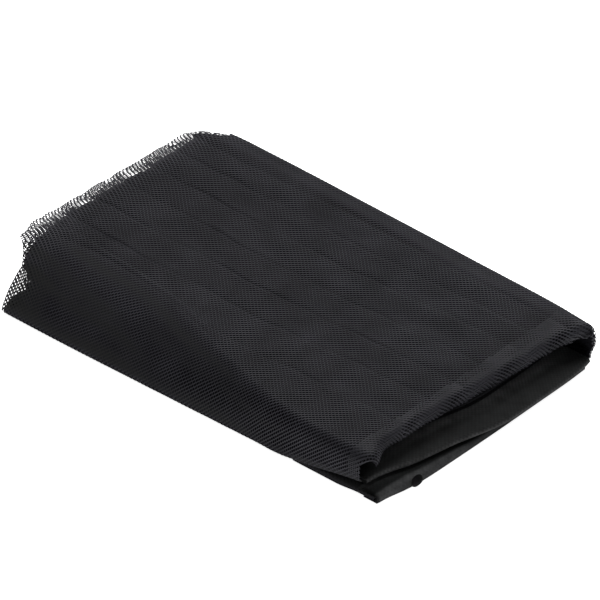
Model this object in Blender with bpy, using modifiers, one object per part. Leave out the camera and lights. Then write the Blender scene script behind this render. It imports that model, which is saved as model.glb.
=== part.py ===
"""Folded screen door curtain.

One net panel is folded back and forth along its long side into a flat packet, and smooth
binding tapes are turned over its edges at the open end. X runs along the packet, with the
open end at +X. Y runs from the sloping front fold to the straight back fold. Z is up, and
the packet rests on z = 0 with the origin under the middle of its box.
"""
import math

import bmesh
import bpy
from mathutils import Vector

# Sheet and tape sizes, in metres
SHEET = 0.0012
TAPE = 0.0008
CLEARANCE = 0.0003
HALF_SHEET = SHEET / 2
HALF_TAPE = TAPE / 2

# Where stations along X are counted from and to, and the slab's front corner
LEFT_REACH = -0.1392
NEAR_REACH = 0.1350
FRONT_CORNER_Y = -0.0800

# Middle of the packet's box in these tables, moved onto the origin at the end
BOX_MIDDLE_X = -0.00245
BOX_MIDDLE_Y = -0.00043

# Ply levels at mid-sheet: on the floor, then raised where the tapes wrap the edges
FLOOR_LEVEL = HALF_SHEET
SECOND_LEVEL = 0.0032
THIRD_LEVEL = 0.0058
INNER_STEP = 0.0027
FLOOR_LEVEL_AT_TAPE = TAPE + CLEARANCE + HALF_SHEET
THIRD_LEVEL_AT_TAPE = 0.0070
TAPE_ZONE_START = 0.0850
TAPE_ZONE_END = 0.1080
FLOOR_RAISE_START = 0.1000
FLOOR_RAISE_END = 0.1150

# The envelope's front corner stands off the slab below it
CORNER_LIFT = 0.0004
CORNER_LIFT_WIDTH = 0.0450
CORNER_LIFT_START = 0.0800

# Rows of the packet's outer section, from the left end to the open end:
# x, hem_y, hem_z, ridge_y, ridge_z, back_y, back_z, tuck
# hem is the foot of the front fold, ridge its top, and back the straight back fold.
# tuck is 1 where the front fold hangs over the slab, and 0 where it turns straight up.
SECTION_ROWS = (
    (-0.1350, -0.0842, 0.0003, -0.0600, 0.0305, 0.0755, 0.0300, 1.0),
    (-0.1180, -0.0847, 0.0003, -0.0530, 0.0303, 0.0820, 0.0292, 1.0),
    (-0.0900, -0.0849, 0.0003, -0.0500, 0.0296, 0.0836, 0.0284, 1.0),
    (-0.0600, -0.0847, 0.0003, -0.0520, 0.0288, 0.0840, 0.0278, 1.0),
    (-0.0350, -0.0843, 0.0003, -0.0555, 0.0281, 0.0840, 0.0274, 1.0),
    (-0.0100, -0.0839, 0.0003, -0.0620, 0.0274, 0.0840, 0.0270, 1.0),
    (0.0240, -0.0834, 0.0004, -0.0710, 0.0263, 0.0838, 0.0266, 1.0),
    (0.0500, -0.0832, 0.0006, -0.0778, 0.0255, 0.0836, 0.0262, 1.0),
    (0.0590, -0.0831, 0.0010, -0.0788, 0.0252, 0.0835, 0.0262, 1.0),
    (0.0680, -0.0829, 0.0042, -0.0796, 0.0249, 0.0834, 0.0261, 0.95),
    (0.0860, -0.0823, 0.0042, -0.0800, 0.0244, 0.0832, 0.0260, 0.8),
    (0.1030, -0.0810, 0.0057, -0.0795, 0.0240, 0.0828, 0.0258, 0.4),
    (0.1190, -0.0800, 0.0072, -0.0780, 0.0234, 0.0818, 0.0255, 0.0),
    (0.1350, -0.0796, 0.0074, -0.0770, 0.0232, 0.0810, 0.0252, 0.0),
)
SECTION_COLUMNS = ("hem_y", "hem_z", "ridge_y", "ridge_z", "back_y", "back_z", "tuck")

# Slab: how far its front fold's turn lies behind the hem while tucked in, and behind the
# front corner once it reaches out, and how far its back fold lies inside the back wall
SLAB_TUCK = 0.0068
SLAB_FRONT_INSET = -0.0003
SLAB_BACK_INSET = 0.0056
REACH_OUT_START = 0.0640
REACH_OUT_END = 0.0720

# Foot of the front fold: its turn, where the mouth's floor runs into it, and the curve between
FOOT_RADIUS = 0.00125
FOOT_GATE = 0.0055
FOOT_GATE_TUCKED = 0.0065
FOOT_PULL = 0.0013

# Front side: the ridge's rounding, the swell of the side, and the side's lean at a height
RIDGE_ROUND_BACK = 0.0060
RIDGE_ROUND_FRONT = 0.0010
SIDE_SWELL_Y = 0.22
SIDE_SWELL_Z = 0.62
SIDE_LEAN = 1.6

# Back wall: its top's rounding, the height and turn of its foot, and the turn over the slab
BACK_RADIUS = 0.0032
HEEL_LEVEL = 0.0036
HEEL_RADIUS = 0.00078
OVER_RADIUS = 0.0012

# Room between the inner folds and the plies round them
ROOM_UNDER_TOP = 0.0014
ROOM_AT_SIDE = 0.0040
ROOM_AT_WALL = 0.0030
ROOM_AT_LEVEL = 0.0010

# Creases pressed into the top, running along X:
# y at the left end, y in the middle, y at the open end, depth at the left, depth at the open end
CREASE_ROWS = (
    (-0.0380, -0.0520, -0.0460, 0.0002, 0.0007),
    (-0.0290, -0.0285, -0.0210, 0.0009, 0.0010),
    (-0.0090, -0.0080, -0.0020, 0.0008, 0.0010),
    (0.0120, 0.0120, 0.0180, 0.0007, 0.0009),
    (0.0320, 0.0330, 0.0395, 0.0009, 0.0006),
    (0.0510, 0.0520, 0.0550, 0.0008, 0.0006),
    (0.0660, 0.0690, 0.0700, 0.0006, 0.0005),
)
CREASE_LEFT_X = -0.1130
CREASE_MIDDLE_X = -0.0130
CREASE_NEAR_X = 0.0970
CREASE_SPACING = 0.0040
PUFF_HEIGHT = 0.0006
PANEL_SEGMENTS = 3

# The open end, by y: where the top starts to roll down, where the mouth's floor ends,
# and where the slab below it ends
MOUTH_ROWS = (
    (-0.0810, 0.1145, 0.1174, 0.1266),
    (-0.0730, 0.1155, 0.1172, 0.1272),
    (-0.0620, 0.1104, 0.1192, 0.1292),
    (-0.0500, 0.1098, 0.1228, 0.1303),
    (-0.0220, 0.1106, 0.1274, 0.1302),
    (0.0060, 0.1130, 0.1334, 0.1297),
    (0.0350, 0.1153, 0.1336, 0.1288),
    (0.0600, 0.1168, 0.1324, 0.1280),
    (0.0730, 0.1198, 0.1306, 0.1271),
    (0.0840, 0.1250, 0.1274, 0.1263),
)
MOUTH_COLUMNS = ("roll_x", "rim_x", "slab_x")

# The roll of the top edge into the mouth, and the smaller rolls of its two sides
ROLL_RADIUS = 0.0042
SIDE_ROLL_RADIUS = 0.0010
WALL_END_X = 0.1292
HEEL_DRAW_IN = 0.0048
HEEL_DRAW_START = 0.45
ROLL_ANGLE = math.radians(150)
ROLL_START = 0.945

# Where plies begin at the left end and stop short of the mouth
SLAB_LEFT_X = -0.1235
ENVELOPE_LEFT_X = -0.1225
HEM_LEFT_X = -0.1230
RIDGE_LEFT_X = -0.1350
BACK_LEFT_X = -0.1170
SCALLOP_DEPTH = 0.0006
LEFT_DROOP = 0.0022
LEFT_DROOP_LENGTH = 0.0140
LEFT_BACK_INSET = 0.0040
LEFT_RIDGE_SHARE = 0.1
LEFT_CORNER_SHARE = 0.955
LEFT_LEAN_START = 0.44
LEFT_LEAN_END = 0.86
LEFT_LEAN_POWER = 1.1
MOUTH_PLY_SETBACK = 0.0215
HEEL_RUN = 0.0090

# Plies end a straight tail beyond their last flat station, just inside the tape round them
TAIL = 0.0130
TAPE_INSET = TAPE + 0.0012

# Shares of a run over which it blends into the roll of the mouth
FOOT_BLEND_START = 0.30
SIDE_ROLL_START = 0.25
WALL_ROLL_END = 0.80

# Inner plies between the mouth's floor and the top: share of the height, left end, right end
INNER_ROWS = (
    (0.19, -0.1190, 0.0990),
    (0.38, -0.1160, 0.0930),
    (0.58, -0.1200, 0.0900),
    (0.79, -0.1170, 0.0960),
)

STATIONS = (0.0, 0.022, 0.05, 0.10, 0.17, 0.25, 0.34, 0.43, 0.52, 0.61, 0.70, 0.78, 0.85, 0.91,
            ROLL_START, 0.959, 0.973, 0.987, 1.0)

# Binding tapes
RIM_TAPE_UPPER = 0.0185
RIM_TAPE_LOWER = 0.0080
RIM_TAPE_FRONT_Y = -0.0768
RIM_TAPE_BACK_Y = 0.0745
SLAB_TAPE_UPPER = 0.0110
SLAB_TAPE_LOWER = 0.0085
SLAB_TAPE_TOP_RADIUS = 0.0014
SLAB_TAPE_LOW_RADIUS = 0.0006
SLAB_TAPE_FRONT_Y = FRONT_CORNER_Y
SLAB_TAPE_BACK_Y = 0.0745
TAPE_STATIONS = 13
TAB_Y = -0.0562
TAB_WIDTH = 0.0062
TAB_HEIGHT = 0.0074
TAB_REACH = 0.0020
TAB_END_ROUNDING = 0.80
TAB_STEPS = (0.0, 0.14, 0.3, 0.5, 0.7, 0.86, 1.0)
TAB_STATIONS = 8


def smooth(value, low, high):
    """Rise from 0 to 1 between low and high, level at both ends."""
    t = min(max((value - low) / (high - low), 0.0), 1.0)
    return t * t * (3 - 2 * t)


def mix(a, b, t):
    return a + (b - a) * t


def row_value(rows, columns, name, at):
    """Read a named column at a place between two rows, on a curve through the rows."""
    column = columns.index(name) + 1
    last = len(rows) - 1
    k = 0
    while k < last - 1 and rows[k + 1][0] < at:
        k += 1
    near = [rows[min(max(k + step, 0), last)] for step in (-1, 0, 1, 2)]
    t = min(max((at - near[1][0]) / (near[2][0] - near[1][0]), 0.0), 1.0)
    span = near[2][0] - near[1][0]
    slope_in = (near[2][column] - near[0][column]) / (near[2][0] - near[0][0]) * span
    slope_out = (near[3][column] - near[1][column]) / (near[3][0] - near[1][0]) * span
    return (near[1][column] * (2 * t**3 - 3 * t**2 + 1) + slope_in * (t**3 - 2 * t**2 + t)
            + near[2][column] * (3 * t**2 - 2 * t**3) + slope_out * (t**3 - t**2))


def outer(name, x):
    return row_value(SECTION_ROWS, SECTION_COLUMNS, name, x)


def mouth(name, y):
    return row_value(MOUTH_ROWS, MOUTH_COLUMNS, name, y)


def bezier(points, count, first=0):
    """Points along a cubic curve, from step first to the last of count steps."""
    a, b, c, d = points
    found = []
    for step in range(first, count + 1):
        t = step / count
        s = 1 - t
        found.append(tuple(a[k] * s**3 + 3 * b[k] * s * s * t + 3 * c[k] * s * t * t + d[k] * t**3
                           for k in (0, 1)))
    return found


def arc(centre, radius, start, stop, count, first=1):
    """Points along an arc, angles in degrees from +Y towards +Z."""
    found = []
    for step in range(first, count + 1):
        a = math.radians(mix(start, stop, step / count))
        found.append((centre[0] + radius * math.cos(a), centre[1] + radius * math.sin(a)))
    return found


def floor_ply_level(x):
    return mix(FLOOR_LEVEL, FLOOR_LEVEL_AT_TAPE, smooth(x, FLOOR_RAISE_START, FLOOR_RAISE_END))


def envelope_level(x, y):
    """Mid-sheet height of the mouth's floor, which rises towards the front corner."""
    level = mix(THIRD_LEVEL, THIRD_LEVEL_AT_TAPE, smooth(x, TAPE_ZONE_START, TAPE_ZONE_END))
    towards_end = smooth(x, CORNER_LIFT_START, TAPE_ZONE_END)
    towards_front = 1 - smooth(y, FRONT_CORNER_Y, FRONT_CORNER_Y + CORNER_LIFT_WIDTH)
    return level + CORNER_LIFT * towards_end * towards_front


def crease_place(row, x):
    """The y of a crease at x, easing between its three named places."""
    left, middle, near = row[0], row[1], row[2]
    a = (x - CREASE_LEFT_X) / (CREASE_MIDDLE_X - CREASE_LEFT_X)
    b = (x - CREASE_MIDDLE_X) / (CREASE_NEAR_X - CREASE_MIDDLE_X)
    if x < CREASE_MIDDLE_X:
        return mix(left, middle, smooth(a, 0, 1))
    return mix(middle, near, smooth(b, 0, 1))


def top_points(x, start, end):
    """The creased top ply between two places in the section."""
    knots = [start[0]]
    depths = [0.0]
    for row in CREASE_ROWS:
        y = max(crease_place(row, x), knots[-1] + CREASE_SPACING)
        knots.append(y)
        depths.append(mix(row[3], row[4], smooth(x, CREASE_LEFT_X, CREASE_NEAR_X)))
    knots.append(end[0])
    depths.append(0.0)
    points = []
    for k in range(len(knots) - 1):
        for step in range(1, PANEL_SEGMENTS + 1):
            t = step / PANEL_SEGMENTS
            y = mix(knots[k], knots[k + 1], t)
            level = mix(start[1], end[1], (y - start[0]) / (end[0] - start[0]))
            trough = mix(depths[k], depths[k + 1], t)
            points.append((y, level - trough + PUFF_HEIGHT * math.sin(math.pi * t)))
    return points


def side_y(x, z):
    """Inner face of the sloping front side at a height."""
    hem_y, hem_z = outer("hem_y", x), outer("hem_z", x)
    ridge_y, ridge_z = outer("ridge_y", x), outer("ridge_z", x)
    share = min(max((z - hem_z) / (ridge_z - hem_z), 0.0), 1.0)
    return hem_y + (ridge_y - hem_y) * share**SIDE_LEAN


def section(x):
    """Mid-sheet points (y, z, ply, share) of the whole folded section at x."""
    h = HALF_SHEET
    hem_y, hem_z = outer("hem_y", x), outer("hem_z", x)
    ridge_y, ridge_z = outer("ridge_y", x), outer("ridge_z", x)
    back_y, back_z = outer("back_y", x), outer("back_z", x)
    tuck = outer("tuck", x)
    low, second = floor_ply_level(x), SECOND_LEVEL
    path = []

    def lay(points, ply):
        count = len(points)
        path.extend((y, z, ply, (k + 1) / count) for k, (y, z) in enumerate(points))

    def straight(y_from, y_to, level, count, first=0):
        found = []
        for step in range(first, count + 1):
            y = mix(y_from, y_to, step / count)
            found.append((y, level(y)))
        return found

    # Slab: floor ply, front fold, second ply, back fold
    reach_out = smooth(x, REACH_OUT_START, REACH_OUT_END)
    slab_front = mix(hem_y + SLAB_TUCK, FRONT_CORNER_Y + SLAB_FRONT_INSET, reach_out)
    slab_back = back_y - SLAB_BACK_INSET
    lay(straight(slab_back, slab_front, lambda y: low, 4), "slab")
    turn = (second - low) / 2
    lay(arc((slab_front, low + turn), turn, 270, 90, 3), "slab")
    lay(straight(slab_front, slab_back, lambda y: second, 4, 1), "slab")
    rise = (envelope_level(x, slab_back) - second) / 2
    lay(arc((slab_back, second + rise), rise, -90, 90, 4), "back_fold")

    # Mouth's floor, forward to the foot of the front fold
    turn = FOOT_RADIUS
    foot = (hem_y + h + turn, max(hem_z + h, mix(envelope_level(x, hem_y), 0.0, tuck)) + turn)
    start_angle = mix(-90.0, 0.0, tuck)
    first = arc(foot, turn, start_angle, start_angle, 1)[0]
    gate_y = hem_y + mix(FOOT_GATE, FOOT_GATE_TUCKED, tuck)
    lay(straight(slab_back, gate_y, lambda y: envelope_level(x, y), 6, 1), "floor")
    heading = (-math.cos(math.radians(90 * tuck)), -math.sin(math.radians(90 * tuck)))
    gate = (gate_y, envelope_level(x, gate_y))
    leave = (gate[0] - FOOT_PULL, gate[1])
    arrive = (first[0] - heading[0] * FOOT_PULL, first[1] - heading[1] * FOOT_PULL)
    lay(bezier((gate, leave, arrive, first), 3, 1), "foot")
    lay(arc(foot, turn, start_angle, -180, 4), "foot")

    # Front side up to the ridge, then the creased top
    low_end = (hem_y + h, foot[1])
    ridge = (ridge_y + RIDGE_ROUND_BACK, ridge_z - h)
    above = (ridge_y - RIDGE_ROUND_FRONT, ridge_z - h)
    swell = (mix(low_end[0], above[0], SIDE_SWELL_Y), mix(low_end[1], above[1], SIDE_SWELL_Z))
    lay(bezier((low_end, swell, above, ridge), 7, 1), "side")
    top_end = (back_y - h - BACK_RADIUS, back_z - h)
    lay(top_points(x, ridge, top_end), "top")

    # Back wall, down past the slab, up again behind it and in over the mouth's floor
    wall_y = back_y - h
    wall_from = top_end[1] - BACK_RADIUS
    drop = [(wall_y, mix(wall_from, HEEL_LEVEL, t)) for t in (0.35, 0.7, 1.0)]
    lay(arc((top_end[0], wall_from), BACK_RADIUS, 90, 0, 3) + drop, "wall")
    lay(arc((wall_y - HEEL_RADIUS, HEEL_LEVEL), HEEL_RADIUS, 0, -180, 4), "heel")
    rise_y = wall_y - 2 * HEEL_RADIUS
    over = (rise_y - OVER_RADIUS, envelope_level(x, back_y) + INNER_STEP - OVER_RADIUS)
    lay([(rise_y, over[1])] + arc(over, OVER_RADIUS, 0, 90, 3), "rise")

    # Inner plies, up to just under the top
    def top_level(y):
        share = (y - ridge[0]) / (top_end[0] - ridge[0])
        return mix(ridge[1], top_end[1], share) - ROOM_UNDER_TOP

    def inner_level(share):
        def level(y):
            base = envelope_level(x, y) + INNER_STEP
            return mix(base, top_level(y), share)
        return level

    levels = [inner_level(share) for share in (0.0,) + tuple(row[0] for row in INNER_ROWS)]
    y_now = over[0]
    for k, level in enumerate(levels):
        ply = "inner%d" % k
        forward = k % 2 == 0
        above_level = levels[k + 1] if k + 1 < len(levels) else level
        if forward:
            z_fold = above_level(ridge_y)
            half = (above_level(hem_y) - level(hem_y)) / 2
            y_next = side_y(x, z_fold + ROOM_AT_LEVEL) + ROOM_AT_SIDE + half + h
        else:
            half = (above_level(back_y) - level(back_y)) / 2
            y_next = wall_y - ROOM_AT_WALL - half - h
        if k == 0:
            lay(straight(y_now, y_now - HEEL_RUN, level, 2, 1), "heel_run")
            y_now -= HEEL_RUN
        lay(straight(y_now, y_next, level, 4, 1), ply)
        if k + 1 < len(levels):
            z_low, z_high = level(y_next), above_level(y_next)
            half = (z_high - z_low) / 2
            middle = (y_next, z_low + half)
            lay(arc(middle, half, 270 if forward else -90, 90, 3), "turn%d" % k)
        y_now = y_next
    return path


def left_x(ply, share):
    """Where a ply begins at the left end."""
    if ply in ("slab", "back_fold"):
        return SLAB_LEFT_X
    if ply == "floor":
        return mix(SLAB_LEFT_X, ENVELOPE_LEFT_X, share)
    if ply == "foot":
        return mix(ENVELOPE_LEFT_X, HEM_LEFT_X, share)
    if ply == "side":
        lean = (share - LEFT_LEAN_START) / (LEFT_LEAN_END - LEFT_LEAN_START)
        return mix(HEM_LEFT_X, RIDGE_LEFT_X, min(max(lean, 0.0), 1.0) ** LEFT_LEAN_POWER)
    if ply == "top":
        scallops = SCALLOP_DEPTH * abs(math.sin(math.pi * share * (len(CREASE_ROWS) + 1)))
        corner = smooth(share, LEFT_CORNER_SHARE, 1.0)
        from_ridge = smooth(share, 0.0, LEFT_RIDGE_SHARE)
        ridge_side = mix(RIDGE_LEFT_X, LEFT_REACH + SCALLOP_DEPTH, from_ridge)
        inset = mix(ridge_side, LEFT_REACH + LEFT_BACK_INSET, share)
        return mix(inset - scallops, BACK_LEFT_X, corner)
    if ply in ("wall", "heel", "rise", "heel_run"):
        return BACK_LEFT_X
    k = int(ply[-1])
    rows = (BACK_LEFT_X,) + tuple(row[1] for row in INNER_ROWS)
    if ply.startswith("turn"):
        return mix(rows[k], rows[k + 1], share)
    return rows[k]


def right_end(ply, share, y):
    """Flat end, straight tail and roll radius of a ply at the open end."""
    roll = mouth("roll_x", y)
    if ply in ("slab", "back_fold"):
        return mouth("slab_x", y) - TAPE_INSET - TAIL, TAIL, 0.0
    rim = mouth("rim_x", y) - TAPE_INSET - TAIL
    if ply == "floor":
        return rim, TAIL, 0.0
    if ply == "foot":
        return mix(rim, roll, smooth(share, FOOT_BLEND_START, 1.0)), TAIL * (1 - share), 0.0
    if ply == "side":
        return roll, 0.0, mix(0.0, ROLL_RADIUS, smooth(share, SIDE_ROLL_START, 1.0))
    if ply == "top":
        return roll, 0.0, ROLL_RADIUS
    wall_stop = WALL_END_X - HEEL_DRAW_IN
    if ply == "wall":
        down = smooth(share, 0.0, WALL_ROLL_END)
        stop = mix(WALL_END_X, wall_stop, smooth(share, HEEL_DRAW_START, 1.0))
        return roll, (stop - roll) * down, mix(ROLL_RADIUS, SIDE_ROLL_RADIUS, down)
    stops = [mouth("rim_x", y) - MOUTH_PLY_SETBACK] + [row[2] for row in INNER_ROWS]
    if ply == "heel":
        return roll, wall_stop - roll, SIDE_ROLL_RADIUS * (1 - share)
    if ply == "rise":
        return mix(roll, wall_stop - TAIL, share), mix(wall_stop - roll, TAIL, share), 0.0
    if ply == "heel_run":
        return mix(wall_stop, stops[0], share) - TAIL, TAIL, 0.0
    k = int(ply[-1])
    stop = mix(stops[k], stops[k + 1], share) if ply.startswith("turn") else stops[k]
    return stop - TAIL, TAIL, 0.0


def grid_sheet(name, along, across, thickness, place):
    """A grid bent to shape by place(column, row), then given its thickness."""
    mesh = bpy.data.meshes.new(name)
    form = bmesh.new()
    bmesh.ops.create_grid(form, x_segments=along, y_segments=across, size=1.0)
    form.verts.ensure_lookup_table()
    for vert in form.verts:
        column = round((vert.co.x + 1) / 2 * along)
        row = round((vert.co.y + 1) / 2 * across)
        vert.co = place(column, row)
    form.to_mesh(mesh)
    form.free()
    sheet = bpy.data.objects.new(name, mesh)
    solid = sheet.modifiers.new("thickness", "SOLIDIFY")
    solid.thickness = thickness
    solid.offset = 0.0
    solid.use_rim = True
    return sheet


def net_panel():
    """The whole folded net, one sheet from its floor ply to its innermost ply."""
    labels = [(ply, share) for _, _, ply, share in section(0.0)]
    sections = {}

    def section_at(x):
        key = round(x, 5)
        if key not in sections:
            sections[key] = [(y, z) for y, z, _, _ in section(x)]
        return sections[key]

    def place(column, row):
        w = STATIONS[column]
        ply, share = labels[row]
        y = section_at(mix(LEFT_REACH, NEAR_REACH, w))[row][0]
        start = left_x(ply, share)
        flat, tail, radius = right_end(ply, share, y)
        turn = max(w - ROLL_START, 0.0) / (1 - ROLL_START)
        x = mix(start, flat, min(w / ROLL_START, 1.0)) + tail * turn
        line = section_at(x)
        y, z = line[row]
        before, after = line[max(row - 1, 0)], line[min(row + 1, len(line) - 1)]
        ahead = Vector((after[0] - before[0], after[1] - before[1])).normalized()
        angle = turn * ROLL_ANGLE
        inward = radius * (1 - math.cos(angle))
        x += radius * math.sin(angle)
        y += ahead.y * inward
        z -= ahead.x * inward
        if ply in ("side", "top", "wall"):
            ease = share if ply == "side" else 1.0
            z -= LEFT_DROOP * ease * (1 - smooth(x, LEFT_REACH, LEFT_REACH + LEFT_DROOP_LENGTH))
        return Vector((x, y, z))

    return grid_sheet("net_cloth", len(STATIONS) - 1, len(labels) - 1, SHEET, place)


def rim_binding():
    """Tape turned over the near edge of the mouth's floor."""
    upper_gap = HALF_SHEET + CLEARANCE + HALF_TAPE

    def points(y):
        end = mouth("rim_x", y)
        centre_x = end - HALF_TAPE - upper_gap
        level = envelope_level(TAPE_ZONE_END, y)
        found = [(centre_x - RIM_TAPE_UPPER * t, level + upper_gap) for t in (1.0, 0.66, 0.33, 0.0)]
        found += arc((centre_x, level), upper_gap, 90, -90, 5)
        found += [(centre_x - RIM_TAPE_LOWER * t, level - upper_gap) for t in (0.5, 1.0)]
        return found

    return tape("rim_binding", points, RIM_TAPE_FRONT_Y, RIM_TAPE_BACK_Y)


def slab_binding():
    """Tape turned over the near edges of the two lowest plies, with a full upper edge."""
    low = HALF_TAPE
    high = SECOND_LEVEL + HALF_SHEET + CLEARANCE + HALF_TAPE
    top_turn, low_turn = SLAB_TAPE_TOP_RADIUS, SLAB_TAPE_LOW_RADIUS

    def points(y):
        end = mouth("slab_x", y) - HALF_TAPE
        found = [(end - top_turn - SLAB_TAPE_UPPER * t, high) for t in (1.0, 0.5, 0.0)]
        found += arc((end - top_turn, high - top_turn), top_turn, 90, 0, 3)
        found += arc((end - low_turn, low + low_turn), low_turn, 0, -90, 2, 0)
        found += [(end - low_turn - SLAB_TAPE_LOWER * t, low) for t in (0.5, 1.0)]
        return found

    return tape("slab_binding", points, SLAB_TAPE_FRONT_Y, SLAB_TAPE_BACK_Y)


def binding_tab():
    """The tape's free end, folded back on itself beside the front corner."""
    def points(y):
        wall = mouth("slab_x", y) + CLEARANCE + HALF_TAPE
        ends = math.sqrt(1 - TAB_END_ROUNDING * (2 * (y - TAB_Y) / TAB_WIDTH) ** 2)
        height = (TAB_HEIGHT - TAPE) * ends
        return [(wall + TAB_REACH * ends * math.sin(math.pi * t), TAB_HEIGHT / 2 + height * (t - 0.5))
                for t in TAB_STEPS]

    return tape("binding_tab", points, TAB_Y - TAB_WIDTH / 2, TAB_Y + TAB_WIDTH / 2, TAB_STATIONS)


def tape(name, points, y_from, y_to, stations=TAPE_STATIONS):
    """A tape whose cross-section points(y) runs from one y to another."""
    count = len(points(y_from))

    def place(column, row):
        y = mix(y_from, y_to, row / stations)
        x, z = points(y)[column]
        return Vector((x, y, z))

    return grid_sheet(name, count - 1, stations, TAPE, place)


def material(name, colour, roughness):
    made = bpy.data.materials.new(name)
    made.use_nodes = True
    shader = made.node_tree.nodes["Principled BSDF"]
    shader.inputs["Base Color"].default_value = (*colour, 1.0)
    shader.inputs["Roughness"].default_value = roughness
    shader.inputs["Metallic"].default_value = 0.0
    made.diffuse_color = (*colour, 1.0)
    return made


def main():
    for thing in list(bpy.data.objects):
        bpy.data.objects.remove(thing, do_unlink=True)
    packet = bpy.data.collections.new("screen_door_curtain")
    bpy.context.scene.collection.children.link(packet)
    net = material("net_black", (0.020, 0.020, 0.023), 0.65)
    woven = material("tape_black", (0.026, 0.026, 0.028), 0.75)
    pieces = (
        (net_panel(), net),
        (rim_binding(), woven),
        (slab_binding(), woven),
        (binding_tab(), woven),
    )
    for piece, finish in pieces:
        piece.data.materials.append(finish)
        piece.data.shade_smooth()
        piece.location = (-BOX_MIDDLE_X, -BOX_MIDDLE_Y, 0.0)
        packet.objects.link(piece)


main()
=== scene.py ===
"""Looks of the folded screen door curtain.

The net is made of real strands with open holes, laid over the folds of the packet, and
smooth woven tapes bind its edges at the open end. Sizes are in metres, in the model's frame.
"""
import math

import bpy
import numpy as np
from mathutils import Matrix, Vector


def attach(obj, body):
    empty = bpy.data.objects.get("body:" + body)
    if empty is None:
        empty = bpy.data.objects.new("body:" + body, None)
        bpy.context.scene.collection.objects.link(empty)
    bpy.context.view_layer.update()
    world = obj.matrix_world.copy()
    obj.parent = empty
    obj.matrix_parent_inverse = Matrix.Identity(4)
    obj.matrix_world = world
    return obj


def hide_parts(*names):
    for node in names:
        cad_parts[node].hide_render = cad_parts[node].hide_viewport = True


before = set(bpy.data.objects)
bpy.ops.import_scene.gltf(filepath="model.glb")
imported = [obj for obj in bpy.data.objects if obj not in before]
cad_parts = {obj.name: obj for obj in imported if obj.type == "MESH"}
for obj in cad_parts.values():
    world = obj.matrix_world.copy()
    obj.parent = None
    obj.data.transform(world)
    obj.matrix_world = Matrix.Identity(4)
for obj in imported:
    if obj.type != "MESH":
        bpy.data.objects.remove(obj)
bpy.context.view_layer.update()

# Sheet and tape sizes
SHEET = 0.0012
TAPE = 0.0008
CLEARANCE = 0.0003
HALF_SHEET = SHEET / 2
HALF_TAPE = TAPE / 2

# Middle of the packet's box in these tables, moved onto the origin at the end
BOX_MIDDLE = (-0.00245, -0.00043)

# The packet's reach along X, its number of stations, and the slab's front corner
LEFT_REACH = -0.1392
NEAR_REACH = 0.1350
STATIONS = 109
FRONT_CORNER_Y = -0.0800

# Ply levels at mid-sheet, on the floor and where the tapes wrap the edges, and the x between
# which they rise from one to the other
FLOOR_LEVEL = HALF_SHEET
SECOND_LEVEL = 0.0032
THIRD_LEVEL = 0.0058
INNER_STEP = 0.0027
FLOOR_LEVEL_AT_TAPE = TAPE + CLEARANCE + HALF_SHEET
THIRD_LEVEL_AT_TAPE = 0.0070
TAPE_ZONE = (0.0850, 0.1080)
FLOOR_RAISE = (0.1000, 0.1150)

# The envelope's front corner stands off the slab below it
CORNER_LIFT = 0.0004
CORNER_LIFT_WIDTH = 0.0450
CORNER_LIFT_START = 0.0800

# Outer section by x: hem and ridge of the front fold, back fold, and how far the hem tucks under
SECTION_COLUMNS = ("hem_y", "hem_z", "ridge_y", "ridge_z", "back_y", "back_z", "tuck")
SECTION_ROWS = (
    (-0.1350, -0.0842, 0.0003, -0.0600, 0.0305, 0.0755, 0.0300, 1.0),
    (-0.1180, -0.0847, 0.0003, -0.0530, 0.0303, 0.0820, 0.0292, 1.0),
    (-0.0900, -0.0849, 0.0003, -0.0500, 0.0296, 0.0836, 0.0284, 1.0),
    (-0.0600, -0.0847, 0.0003, -0.0520, 0.0288, 0.0840, 0.0278, 1.0),
    (-0.0350, -0.0843, 0.0003, -0.0555, 0.0281, 0.0840, 0.0274, 1.0),
    (-0.0100, -0.0839, 0.0003, -0.0620, 0.0274, 0.0840, 0.0270, 1.0),
    (0.0240, -0.0834, 0.0004, -0.0710, 0.0263, 0.0838, 0.0266, 1.0),
    (0.0500, -0.0832, 0.0006, -0.0778, 0.0255, 0.0836, 0.0262, 1.0),
    (0.0590, -0.0831, 0.0003, -0.0788, 0.0252, 0.0835, 0.0262, 1.0),
    (0.0680, -0.0829, 0.0010, -0.0796, 0.0249, 0.0834, 0.0261, 0.95),
    (0.0860, -0.0823, 0.0033, -0.0800, 0.0244, 0.0832, 0.0260, 0.8),
    (0.1030, -0.0810, 0.0057, -0.0795, 0.0240, 0.0828, 0.0258, 0.4),
    (0.1190, -0.0800, 0.0072, -0.0780, 0.0234, 0.0818, 0.0255, 0.0),
    (0.1350, -0.0796, 0.0074, -0.0770, 0.0232, 0.0810, 0.0252, 0.0),
)

# Slab: how far its front fold's turn lies behind the hem while tucked in, and behind the front
# corner once it reaches out, and how far its back fold lies inside the back wall
SLAB_TUCK = 0.0068
SLAB_FRONT_INSET = -0.0003
SLAB_BACK_INSET = 0.0056
REACH_OUT = (0.0640, 0.0720)

# Foot of the front fold: its turn, where the mouth's floor runs into it, and the curve between
FOOT_RADIUS = 0.00125
FOOT_GATE = 0.0055
FOOT_GATE_TUCKED = 0.0065
FOOT_PULL = 0.0013

# Front side: the ridge's rounding, the swell of the side, and the side's lean at a height
RIDGE_ROUND_BACK = 0.0060
RIDGE_ROUND_FRONT = 0.0010
SIDE_SWELL_Y = 0.22
SIDE_SWELL_Z = 0.62
SIDE_LEAN = 1.6

# Back wall: its top's rounding, the height and turn of its foot, and the turn and the first
# run in over the mouth's floor
BACK_RADIUS = 0.0032
HEEL_LEVEL = 0.0036
HEEL_RADIUS = 0.00078
OVER_RADIUS = 0.0012
HEEL_RUN = 0.0090

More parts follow.
